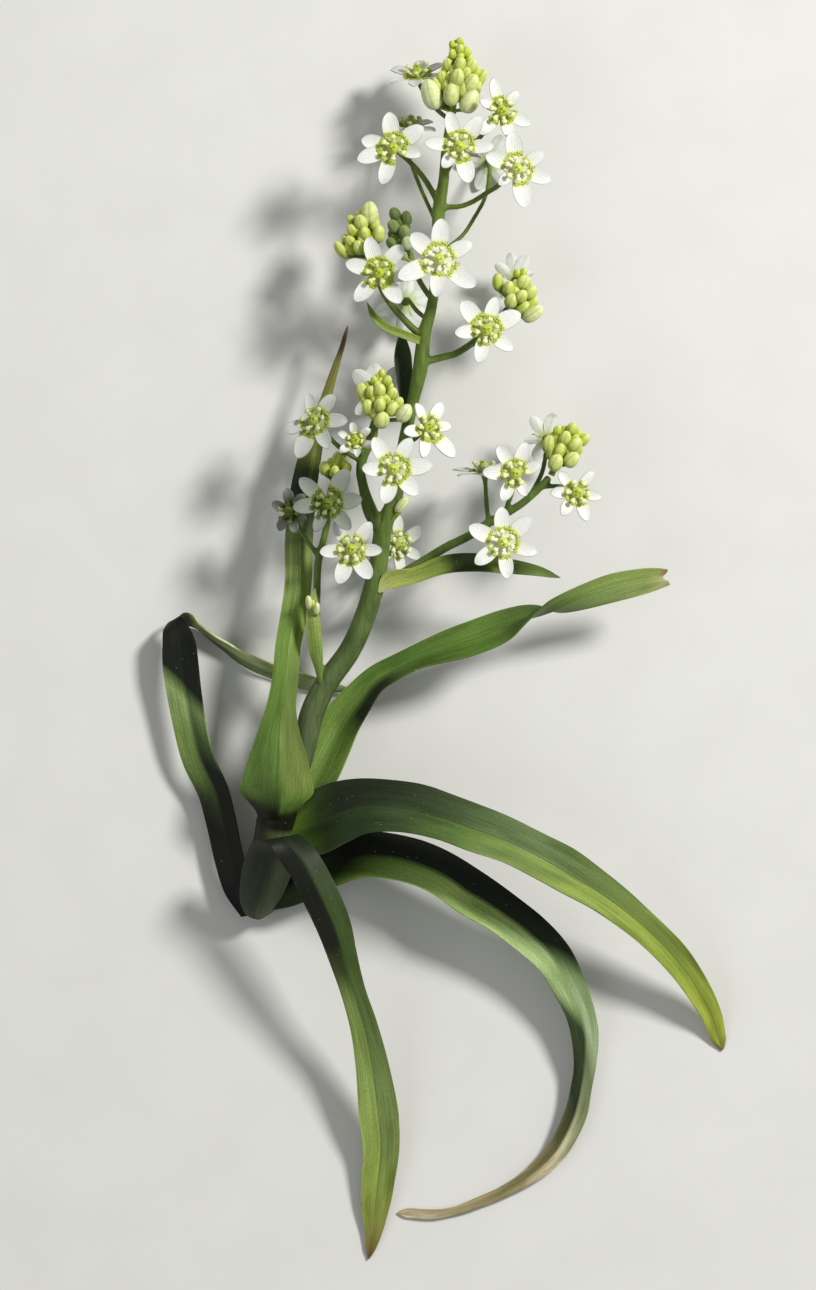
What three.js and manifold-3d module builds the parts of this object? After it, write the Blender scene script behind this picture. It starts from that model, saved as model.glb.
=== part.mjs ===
// Fremont's star lily, a whole plant cut at the ground and laid on its back.
// Lengths are millimetres. The surface is z = 0, the shoot points along +Y and +Z is up.
// Positions were read by eye from the photo, in a frame whose origin is the middle of the plant.

import * as THREE from 'three';
import Module from 'manifold-3d';

const wasm = await Module();
wasm.setup();

// Sizes that drive the shape.
const FIT_GAP = 0.3;
const JOIN_TOLERANCE = 0.1;
const LEAF_THICK = 1.0;
const LEAF_EDGE_THICK = 0.7;
// Where the lengthwise rows of points lie across a blade, as shares of its half width.
const LEAF_COLUMNS = [-1, -0.5, 0, 0.5, 1];
const BRACT_COLUMNS = [-1, 0, 1];
const BRACT_THICK = 0.8;
const TEPAL_THICK = 0.7;
const TEPAL_WIDTH_SHARE = 0.235;
const TEPAL_CUP = 1.1;
const TEPAL_CHANNEL = 0.45;
const ROOT_DROP = 0.1;
const WHORL_HEIGHTS = [0.25, -0.1];
const BROAD_SHARE = 0.55;
const SHOULDER_SHARE = 0.84;
const SHOULDER_WIDTH = 0.7;
const SHOULDER_RISE = 1.15;
const TIP_RISE = 0.75;
const LENGTH_VARIATION = 0.06;
const HOLE_RADIUS = 1.6;
const NOTCH_RADIUS = 3.4;
const RECEPTACLE = HOLE_RADIUS - FIT_GAP / Math.cos(Math.PI / 6);
const OVARY_RADIUS = 2.0;
const PEDICEL = 0.85;
// Heart of a flower from the top down, as heights above the tepals and radii.
const STYLE_TOP = 4.4;
const HEART_PROFILE = [
  [3.9, 0.9], [2.5, OVARY_RADIUS], [1.5, RECEPTACLE], [0.85, RECEPTACLE], [-1.2, RECEPTACLE], [-2.8, PEDICEL],
];
// Row of the heart's sections whose sides the stamens leave from.
const STAMEN_ROW = 3;
const STAMEN_REACH = 3.4;
const STAMEN_HEIGHT = 3.1;
const ANTHER_HALF = 0.5;
const BUD_PEDICEL = 0.65;
const NECK_SIDES = 14;
const STEM_SIDES = 8;
const BRANCH_SIDES = 6;
const PEDICEL_SIDES = 5;
const BUD_SIDES = 5;
const TEPALS = 6;
const BUD_LEAN = 0.8;
// How far below its middle a bud's stalk leaves the axis, and the stretch of axis that bears buds.
const BUD_STALK_DROP = 1.6;
const BUD_STRETCH = [0.03, 0.9];
// Parts of a bud from its foot to its tip, as shares of its half length and of its radius.
const BUD_PROFILE = [[-0.58, 0.84], [0.4, 0.94]];

const UP = new THREE.Vector3(0, 0, 1);
const DEGREE = Math.PI / 180;

const point = (values) => new THREE.Vector3(values[0], values[1], values[2]);

// Materials, one for each kind of tissue.
const tissue = (colour, roughness) => {
  return () => new THREE.MeshStandardMaterial({ color: colour, roughness, metalness: 0 });
};
const stalkGreen = tissue('#6b8a45', 0.6);
const tepalWhite = tissue('#eef1e6', 0.7);
const budGreen = tissue('#b9c46a', 0.6);
const darkBudGreen = tissue('#6f8240', 0.65);
const leafGreen = tissue('#56732f', 0.55);
const darkLeafGreen = tissue('#3f5a2a', 0.6);
const paleLeafGreen = tissue('#7f9a45', 0.55);
const sheathGreen = tissue('#58703a', 0.6);

// Closed solid from a row of cross sections, each a list of points in the same order.
// A section of one point closes to a tip. Points from mirrorFrom on lie on the far face,
// where the triangles are split the way the near face has them.
function loftSolid(sections, mirrorFrom = Infinity, stripCaps = false) {
  const starts = sectionStarts(sections);
  const positions = sections.flat().flatMap((corner) => corner.toArray());
  const faces = [];
  for (let row = 0; row + 1 < sections.length; row += 1) {
    joinSections(faces, starts, sections, row, mirrorFrom);
  }
  capSection(faces, starts[0], sections[0].length, true, stripCaps);
  const last = sections.length - 1;
  capSection(faces, starts[last], sections[last].length, false, stripCaps);
  return solidFromFaces(positions, faces);
}

function sectionStarts(sections) {
  const starts = [0];
  for (const section of sections) {
    starts.push(starts[starts.length - 1] + section.length);
  }
  return starts;
}

function joinSections(faces, starts, sections, row, mirrorFrom) {
  const near = starts[row];
  const far = starts[row + 1];
  const nearCount = sections[row].length;
  const farCount = sections[row + 1].length;
  const count = Math.max(nearCount, farCount);
  for (let side = 0; side < count; side += 1) {
    const next = (side + 1) % count;
    if (nearCount === 1) {
      faces.push([near, far + next, far + side]);
    } else if (farCount === 1) {
      faces.push([near + side, near + next, far]);
    } else if (side >= mirrorFrom) {
      faces.push([near + side, near + next, far + side]);
      faces.push([near + next, far + next, far + side]);
    } else {
      faces.push([near + side, near + next, far + next]);
      faces.push([near + side, far + next, far + side]);
    }
  }
}

function capSection(faces, start, count, isFirst, stripCaps) {
  const cap = [];
  if (stripCaps) {
    for (let side = 0; side + 1 < count / 2; side += 1) {
      const opposite = count - 1 - side;
      cap.push([start + side, start + opposite, start + opposite - 1]);
      cap.push([start + side, start + opposite - 1, start + side + 1]);
    }
  } else {
    for (let side = 1; side + 1 < count; side += 1) {
      cap.push([start, start + side + 1, start + side]);
    }
  }
  for (const face of cap) {
    faces.push(isFirst ? face : face.slice().reverse());
  }
}

// Manifold solid, turned so that its faces look outward.
function solidFromFaces(positions, faces) {
  const corners = faces.map((face) => face.map((index) => point(positions.slice(index * 3, index * 3 + 3))));
  let volume = 0;
  for (const [a, b, c] of corners) {
    volume += a.dot(b.clone().cross(c));
  }
  const ordered = volume < 0 ? faces.map((face) => face.slice().reverse()) : faces;
  const mesh = new wasm.Mesh({
    numProp: 3,
    vertProperties: new Float32Array(positions),
    triVerts: new Uint32Array(ordered.flat()),
  });
  return new wasm.Manifold(mesh);
}

function unite(solids) {
  return solids.reduce((whole, solid) => whole.add(solid));
}

// The same solid without the slivers that joining leaves.
function lighten(solid) {
  return solid.asOriginal().simplify(JOIN_TOLERANCE);
}

// The largest body that is left when the other solid is cut away.
function keepClear(solid, other) {
  const pieces = solid.subtract(other).decompose();
  pieces.sort((first, second) => second.volume() - first.volume());
  return pieces[0];
}

// Round tube along a route of [x, y, z, radius] rows, bent smoothly between them.
function tubeSolid(rows, sides, grow = 0) {
  const curve = new THREE.CatmullRomCurve3(rows.map(point), false, 'centripetal');
  const sections = [];
  let across = null;
  for (const [index, row] of rows.entries()) {
    const share = index / (rows.length - 1);
    const centre = point(row);
    const along = curve.getTangent(share);
    if (across === null) {
      const helper = Math.abs(along.z) > 0.8 ? new THREE.Vector3(1, 0, 0) : UP;
      across = new THREE.Vector3().crossVectors(along, helper);
    }
    across.addScaledVector(along, -across.dot(along)).normalize();
    const lift = new THREE.Vector3().crossVectors(across, along);
    sections.push(circlePoints(centre, across, lift, row[3] + grow, sides));
  }
  return loftSolid(sections);
}

function circlePoints(centre, across, lift, radius, sides, turn = 0) {
  const corners = [];
  for (let side = 0; side < sides; side += 1) {
    const angle = (2 * Math.PI * side) / sides + turn;
    const corner = centre.clone();
    corner.addScaledVector(across, radius * Math.cos(angle));
    corner.addScaledVector(lift, radius * Math.sin(angle));
    corners.push(corner);
  }
  return corners;
}

// Direction across a blade at one control row: rolled from level by degrees,
// or given outright as a vector in the sixth place of the row.
function acrossAtRow(row, along) {
  if (row.length > 6) {
    const given = point(row[6]);
    return given.addScaledVector(along, -given.dot(along)).normalize();
  }
  const level = new THREE.Vector3().crossVectors(along, UP).normalize();
  const lift = new THREE.Vector3().crossVectors(level, along);
  const roll = row[4] * DEGREE;
  return level.multiplyScalar(Math.cos(roll)).addScaledVector(lift, Math.sin(roll));
}

// Blade along rows of [x, y, z, width, roll, fold]. A fold above zero is a channel open to
// the near face, below zero a keel. Columns run across the blade at the given shares.
function bladeSolid(rows, options = {}) {
  const { columns = LEAF_COLUMNS, thick = LEAF_THICK, edge = LEAF_EDGE_THICK } = options;
  const curve = new THREE.CatmullRomCurve3(rows.map(point), false, 'centripetal');
  const sections = rows.map((row, index) => {
    const centre = point(row);
    const along = curve.getTangent(index / (rows.length - 1));
    const across = acrossAtRow(row, along);
    const lift = new THREE.Vector3().crossVectors(across, along);
    const half = row[3] / 2;
    const near = [];
    const far = [];
    for (const column of columns) {
      const depth = Math.abs(column);
      const height = row[5] * depth * half;
      const thickness = thick + (edge - thick) * depth;
      const base = centre.clone().addScaledVector(across, column * half);
      near.push(base.clone().addScaledVector(lift, height + thickness / 2));
      far.push(base.clone().addScaledVector(lift, height - thickness / 2));
    }
    return near.concat(far.reverse());
  });
  return loftSolid(sections, columns.length, true);
}

// Main axis and branches of the flower stalk as [x, y, z, radius].
const MAIN_STEM = [
  [-47.4, -40.5, 20, 3.3], [-44.5, -30, 21.5, 3.4], [-42.3, -20, 22.5, 3.4], [-37, -10, 23, 3.2],
  [-29.5, 0, 24, 3.0], [-25.5, 10, 25, 2.9], [-22.9, 20, 26, 3.0], [-21, 30, 26.5, 2.9],
  [-19.6, 40, 27, 2.9], [-16.3, 48, 27.5, 2.5], [-14.3, 57, 28, 2.2], [-13, 67, 28, 2.1],
  [-10.2, 80, 28, 2.0], [-8, 90, 28, 2.5], [-6.5, 102, 28, 2.2], [-4.3, 110, 28, 1.8],
  [-3, 120, 28, 1.7], [-2.3, 131, 28, 1.7], [-2, 141, 28, 2.2], [-0.5, 150, 28, 1.8],
  [0.3, 160, 28, 1.6], [1.9, 171, 28, 1.4],
];

const BRANCHES = {
  lower_left: [
    [-38.5, -11, 23, 1.5], [-40.4, -5, 24.5, 1.6], [-41.3, 5, 26.5, 1.4], [-41, 18, 28.5, 1.3],
    [-40.6, 28, 30, 1.3], [-39, 35, 31, 1.2], [-37.4, 42, 31.5, 1.1], [-36.2, 49, 30.5, 1.0],
  ],
  upper_left: [
    [-20.5, 38, 27, 2.0], [-24, 45, 28.5, 2.4], [-26, 52, 29.5, 1.7], [-27, 58, 30, 1.6],
    [-25.8, 63, 30.5, 1.6], [-23, 68, 31.5, 1.6],
  ],
  right: [
    [-20.5, 21.5, 26, 1.8], [-14, 24.5, 27, 1.7], [-8, 28, 28, 1.6], [0, 33, 29, 1.5],
    [8, 37, 30, 1.5], [14, 41, 30.5, 1.5], [20, 44.3, 31, 1.4], [25, 47.5, 31.5, 1.3],
    [30, 52, 32, 1.3], [33.4, 55.6, 32.6, 1.2],
  ],
  mid_right: [
    [-6.5, 92.5, 28, 1.3], [-1, 94, 28, 1.25], [3, 95, 28, 1.2], [7, 97.3, 27.5, 1.2],
    [13, 101.5, 26.5, 1.1], [17.5, 106, 26.5, 1.0], [19.7, 109.5, 27, 1.0],
  ],
  mid_left: [
    [-6.3, 100.5, 28, 1.3], [-9.5, 102.5, 28.5, 1.25], [-13, 106, 29, 1.2], [-17, 110.5, 29.5, 1.15],
    [-20.5, 116, 29, 1.0], [-22.3, 122, 29, 1.0],
  ],
  dark_left: [
    [-3.5, 112, 28, 1.1], [-6, 115, 25, 1.0], [-8.7, 119.5, 21.5, 1.0],
  ],
  upper_right: [
    [-2, 140.8, 28, 1.1], [1, 142, 28.3, 1.0], [5, 142.3, 29, 0.9], [9, 143.8, 30, 0.9],
    [13, 146.3, 31, 0.9], [17, 148.8, 32.5, 0.9], [21, 152, 34, 0.9],
  ],
  back_right: [
    [-2, 127, 28, 0.8], [2, 130, 26, 0.75], [6, 133.5, 24.5, 0.75], [9.5, 139, 22, 0.75],
    [12.3, 144, 19, 0.75], [14, 149, 14.5, 0.75],
  ],
  upper_left_fork: [
    [-2, 143, 28, 1.1], [-5.6, 149.5, 30, 1.0], [-9, 154, 32, 0.95], [-13, 158, 34, 0.9],
  ],
  upper_left_low: [
    [-2.2, 136, 28, 0.9], [-5.5, 143, 25, 0.75], [-8.5, 150, 22, 0.75], [-11.5, 158, 19, 0.75],
  ],
};

// Open flowers. Front ones carry the tepal tips seen in the photo, others the radius and a turn.
// route leads from the stalk to the back of the flower.
const BLOOMS = [
  { name: 'crown_middle', centre: [-2, 125, 43], faces: [0.05, 0, 1], route: [[-3, 116, 28], [-2.6, 121, 34]],
    tips: [[-1.3, 138], [8.5, 130.5], [9.5, 116.3], [-2.8, 113], [-15, 119], [-11, 133]] },
  { name: 'mid_right', centre: [13, 102.5, 38], faces: [0.1, 0.05, 1], route: [[6, 96.7, 27.7], [10, 100, 31]],
    tips: [[5, 111.5], [16, 113], [24, 108], [21.5, 96], [10.5, 92], [3, 101.5]] },
  { name: 'mid_left', centre: [-21, 120.5, 39], faces: [-0.12, 0.15, 1], route: [[-17.5, 111, 29.4], [-20, 116, 32.6]],
    tips: [[-24.5, 132], [-31.5, 124], [-28.5, 111.5], [-14, 111], [-10.8, 119.6], [-13.4, 129.4]] },
  { name: 'upper_left', centre: [-16.5, 160.5, 41], faces: [-0.05, 0, 1], route: [[-12, 157, 33.5], [-15, 159.4, 35.5]],
    tips: [[-18, 172], [-7, 167.5], [-7.6, 158.6], [-20, 149], [-28, 157], [-26.6, 163.5]] },
  { name: 'upper_middle', centre: [4.5, 161, 43], faces: [0, 0, 1], route: [[0, 152, 28.5], [2.6, 157, 34]],
    tips: [[1, 172], [11.5, 170.5], [15.5, 161], [8, 149.5], [-1, 154.5], [-6.5, 162.5]] },
  { name: 'upper_right', centre: [23, 154, 40], faces: [0.05, 0, 1], route: [[19, 150.5, 33.2], [22, 153, 35.4]],
    tips: [[21.5, 166], [31.5, 159], [34, 150.5], [25.5, 141.5], [17, 149], [13, 158.5]] },
  { name: 'top_right', centre: [18, 172.5, 37], faces: [0.12, 0.05, 1],
    route: [[1, 162.5, 28], [9.5, 163, 29], [14, 168, 31]],
    tips: [[15.5, 183], [23.5, 178.5], [27.5, 168.5], [21.5, 163], [11.2, 165], [11, 176]] },
  { name: 'lower_middle', centre: [-16.5, 58, 43], faces: [0, 0, 1], route: [[-16, 48, 28], [-16.4, 54, 35]],
    tips: [[-26.5, 58], [-23, 68], [-11, 68], [-4, 59.5], [-8.5, 50], [-19, 47]] },
  { name: 'left_high', centre: [-41.5, 73.5, 37], faces: [-0.28, 0.22, 1],
    route: [[-26.6, 60.5, 30.2], [-33, 64.5, 31], [-38.5, 70, 32]],
    tips: [[-51, 70], [-43.5, 82], [-35, 81.5], [-31, 73.5], [-37, 64.5], [-47, 61.5]] },
  { name: 'left_low', centre: [-37.5, 47, 42.6], faces: [-0.05, 0, 1], route: [[-37.9, 40.5, 31.3], [-37.5, 44.5, 36]],
    tips: [[-46.5, 55], [-48.5, 46], [-41.5, 38], [-30, 39], [-26.5, 48.5], [-31, 58]] },
  { name: 'left_edge', centre: [-49, 44.5, 34.5], faces: [-0.45, 0.1, 1],
    route: [[-40.3, 30, 30.3], [-44.5, 36, 31], [-47.5, 41.5, 31]],
    tips: [[-54.8, 47.5], [-50, 52], [-44.5, 50], [-43.8, 42], [-47.3, 37.6], [-53, 38.5]] },
  { name: 'low_left_of_stem', centre: [-30, 32.5, 39.4], faces: [0, 0, 1], route: [[-22.5, 24, 26.5], [-27.5, 29, 32.6]],
    tips: [[-35.5, 41], [-40, 31.5], [-34, 21.5], [-24, 23], [-20.2, 32], [-23.5, 41]] },
  { name: 'right_inner', centre: [22.5, 56.5, 41], faces: [0, 0.05, 1], route: [[19, 43.8, 31], [21.6, 51.5, 34.5]],
    tips: [[17, 65.5], [26, 66.5], [30.5, 59.5], [26, 49.5], [18, 48], [12, 57]] },
  { name: 'right_outer', centre: [42, 50.5, 36], faces: [0.15, 0.05, 1],
    route: [[30.5, 52.5, 32], [37, 52.6, 31.6], [40.2, 51.4, 31.6]],
    tips: [[47, 57.5], [50, 49.5], [45.5, 41.5], [37, 43.5], [33.5, 50.5], [36.6, 57.4]] },
  { name: 'right_low', centre: [18.5, 34.5, 43], faces: [0, 0, 1], route: [[9, 37.6, 30], [14.5, 36.5, 35]],
    tips: [[18, 46], [27.5, 42.5], [29.5, 31.5], [20, 23], [9.5, 28], [7.5, 39.5]] },
  { name: 'right_of_stem', centre: [-5.8, 71, 36], faces: [0.4, 0.25, 0.9], route: [[-13, 66, 28.5], [-9.4, 68, 31]],
    tips: [[1.5, 72], [2.6, 61.8], [-7.6, 61.6], [-13.6, 69.2], [-9.5, 79], [-1.4, 79]] },
  { name: 'small_cup', centre: [-28.6, 66.8, 37], faces: [-0.05, 0.25, 1], route: [[-26, 62.3, 30.3], [-27.8, 64.6, 32.5]],
    radius: 6, turn: 10, cup: 3, stamenReach: 2.2 },
  { name: 'facing_up_right', centre: [12.6, 57, 29], faces: [-0.1, 1, 0.22],
    route: [[14, 41, 30.3], [13.3, 47, 29.5]], radius: 10.5, turn: 4 },
  { name: 'top_left', centre: [-8.6, 184, 21], faces: [-0.15, 0.85, 0.42], route: [[1.9, 169.5, 27.6], [-4, 175, 20]],
    radius: 10.2, turn: 12 },
  { name: 'behind_upper_left', centre: [-11.2, 167.6, 18.5], faces: [0.05, 0.9, 0.3],
    route: [[-11.3, 157.4, 19.3], [-11.4, 162, 17.8]], radius: 9, turn: 0 },
  { name: 'behind_upper_right', centre: [14.2, 157.2, 4.7], faces: [0.1, 0.15, -1],
    route: [[13.8, 148.3, 15.2], [14.4, 154, 11.4]], radius: 9.6, turn: 25 },
  { name: 'behind_mid_left', centre: [-12.5, 112, 12], faces: [-0.2, -0.25, -0.9],
    route: [[-5, 105.5, 27], [-9, 109, 20.5]], radius: 10.5, turn: 10 },
  { name: 'behind_mid_right', centre: [22.5, 119, 14], faces: [0.12, 0.8, -0.5],
    route: [[15.5, 104, 26.5], [20.3, 110.5, 20]], radius: 9.5, turn: 15 },
  { name: 'behind_left_head', centre: [-21, 82, 16.8], faces: [0, 0.5, -0.87],
    route: [[-25.6, 63.5, 30], [-23.6, 71.5, 26.4]], radius: 10.8, turn: 28 },
  { name: 'behind_stem', centre: [-15.4, 34, 13.6], faces: [0.5, 0, 0.86],
    route: [[-22, 24, 25.4], [-21.4, 24.6, 16], [-19, 29.6, 9.6]], radius: 9.6, turn: 2 },
  { name: 'behind_right_head', centre: [32.5, 68, 18], faces: [0, 0.75, -0.55],
    route: [[27, 49.3, 31.5], [31, 57, 27], [32.3, 63, 22.5]], radius: 9, turn: 10 },
];

// Bud heads: the slim axis and its buds as [x, y, z, radius, half length].
const BUD_HEADS = [
  { name: 'buds_top', colour: budGreen, axis: [[2.2, 171.9, 28, 1.3], [3.4, 184, 28.5, 1.0], [4.7, 194.5, 28.5, 0.7]],
    buds: [
      [4.7, 195, 28.5, 1.2, 1.5], [2.3, 194, 29, 1.1, 1.4], [4.8, 192.3, 31, 1.5, 1.9], [2.5, 190.8, 30.6, 1.4, 1.8],
      [7, 191.3, 29.5, 1.5, 1.9], [1, 187.4, 30.4, 1.8, 2.3], [4.8, 187.6, 33, 2.0, 2.5], [8.2, 187, 31, 2.0, 2.6],
      [-0.8, 183.2, 31, 1.8, 2.5], [4, 183.4, 34.2, 2.3, 3.0], [8.4, 181.4, 33.2, 2.5, 3.4], [11.2, 183, 28, 1.8, 3.6],
      [2, 177.8, 34.2, 2.6, 3.8], [7.9, 175.8, 32.8, 3.1, 4.2], [-4.3, 178, 31.5, 3.3, 5.2],
      [3.2, 190, 25.6, 1.5, 2.0], [7, 186.5, 25, 1.9, 2.5], [1.6, 183.4, 25.4, 1.8, 2.5],
      [6, 180.6, 23.6, 2.4, 3.2], [0.6, 176.6, 23.8, 2.4, 3.4],
    ] },
  { name: 'buds_mid_left', colour: budGreen, axis: [[-22.6, 122.9, 29, 1.0], [-26.2, 138.5, 30, 0.8]],
    buds: [
      [-24, 140, 31.5, 2.8, 3.9], [-26.8, 137, 33, 2.2, 2.7], [-30, 138, 30.5, 1.3, 1.6], [-29.6, 134.5, 32.2, 1.8, 2.2],
      [-25.6, 133.4, 34.2, 1.9, 2.3], [-21.3, 133.4, 32, 2.2, 3.0], [-30.2, 131, 32.8, 1.7, 2.1],
      [-27.4, 129, 34.6, 2.0, 2.5], [-33, 128.3, 31, 2.0, 3.4],
      [-24, 135, 26.8, 2.0, 2.6], [-28, 131.6, 27, 2.1, 2.7],
    ] },
  { name: 'buds_dark', colour: darkBudGreen, axis: [[-9.2, 120.3, 21, 1.0], [-14.3, 138.5, 19, 0.8]],
    buds: [
      [-16, 140, 20, 1.9, 2.3], [-12.3, 138.6, 20.8, 1.8, 2.5], [-16.4, 136, 21.4, 2.0, 2.4], [-13, 134.2, 22.6, 2.0, 2.4],
      [-17, 130.6, 21, 1.8, 2.2], [-12, 131.2, 22.6, 2.0, 2.4], [-14.6, 127.6, 22.6, 2.0, 2.4],
      [-13.8, 133, 16, 2.0, 2.5],
    ] },
  { name: 'buds_mid_right', colour: budGreen, axis: [[20, 110.2, 27, 1.0], [23.2, 120, 27.5, 0.8]],
    buds: [
      [17, 118, 28.4, 1.9, 3.0], [20.4, 116, 31.2, 2.0, 2.5], [21.2, 112, 31.4, 2.2, 2.6], [25, 118, 30.6, 2.2, 2.6],
      [27.2, 114.8, 29.2, 2.2, 2.6], [25, 121, 29, 1.3, 1.7], [23, 120.8, 30, 1.2, 1.5], [24.4, 113.4, 32.2, 2.0, 2.4],
      [28.2, 107.9, 29, 2.0, 3.8], [22, 114.5, 23.6, 1.9, 2.4],
    ] },
  { name: 'buds_left', colour: budGreen, axis: [[-22.7, 68.4, 31.8, 1.1], [-20.2, 87, 34.6, 0.8]],
    buds: [
      [-20.2, 88.4, 35.4, 1.4, 1.8], [-22.6, 86.4, 37.2, 1.3, 1.6], [-18.5, 86.2, 37, 1.6, 2.0], [-20.8, 83.2, 39, 2.0, 2.4],
      [-26.4, 82.8, 35.6, 2.0, 3.0], [-23.6, 82.6, 37.8, 1.7, 2.3], [-17, 82.3, 37.6, 1.8, 2.2], [-20.8, 78.6, 40, 2.0, 2.4],
      [-24.6, 77.8, 37.6, 2.0, 2.8], [-16.8, 77.4, 38, 2.2, 2.6], [-20.2, 73.8, 39, 2.5, 2.9],
      [-18.4, 80, 31.4, 1.9, 2.5], [-23, 77, 31.6, 2.0, 2.6],
    ] },
  { name: 'buds_small_left', colour: budGreen, axis: [[-36.1, 49.8, 30.3, 0.9], [-34, 60, 31.4, 0.7]],
    buds: [
      [-34.4, 61.4, 32, 1.8, 2.5], [-31.6, 58.4, 32.4, 1.7, 2.1], [-32.8, 62.6, 29.2, 1.3, 1.7], [-38.4, 58.4, 31.2, 1.9, 2.4],
      [-35.2, 57.4, 34.4, 1.6, 2.0], [-35.4, 58, 28, 1.6, 2.1],
    ] },
  { name: 'bud_by_stem', colour: budGreen, axis: [[-17.4, 41.4, 28.6, 0.8], [-14.6, 44.6, 30.4, 0.8]],
    buds: [[-13.9, 46.8, 30.6, 1.6, 3.3]] },
  { name: 'buds_right', colour: budGreen, axis: [[33.9, 56.2, 32.8, 1.1], [41, 70.6, 33.6, 0.8]],
    buds: [
      [33.2, 66, 33.4, 2.2, 3.0], [36.6, 64, 36.2, 1.9, 2.6], [38.4, 68, 35.6, 2.0, 2.5], [40.6, 71, 34, 1.8, 2.2],
      [41.6, 66, 35.8, 2.2, 2.6], [44.2, 67.5, 33, 1.8, 2.5], [40.4, 61.2, 35.6, 2.4, 2.9], [35.4, 60.2, 37, 2.4, 3.0],
      [36, 70.2, 33, 1.5, 2.0], [38, 65.4, 29.6, 2.0, 2.6], [35.6, 61, 28.8, 2.0, 2.6],
    ] },
];

// Leaf-sheath neck as [x, y, z, radius]. Its lowest part is cut flat by the surface.
const NECK = [
  [-62.2, -84.6, 5.2, 3.6], [-61, -82.4, 5.8, 5.8], [-59.4, -79, 6.9, 7.6], [-57.6, -73, 7.7, 8.0],
  [-56, -66, 9.8, 6.9], [-55, -60, 12.6, 6.3], [-54, -54, 14.8, 6.5], [-51.6, -47.6, 17.4, 5.6],
  [-49, -42, 19.4, 4.2],
];

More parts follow.
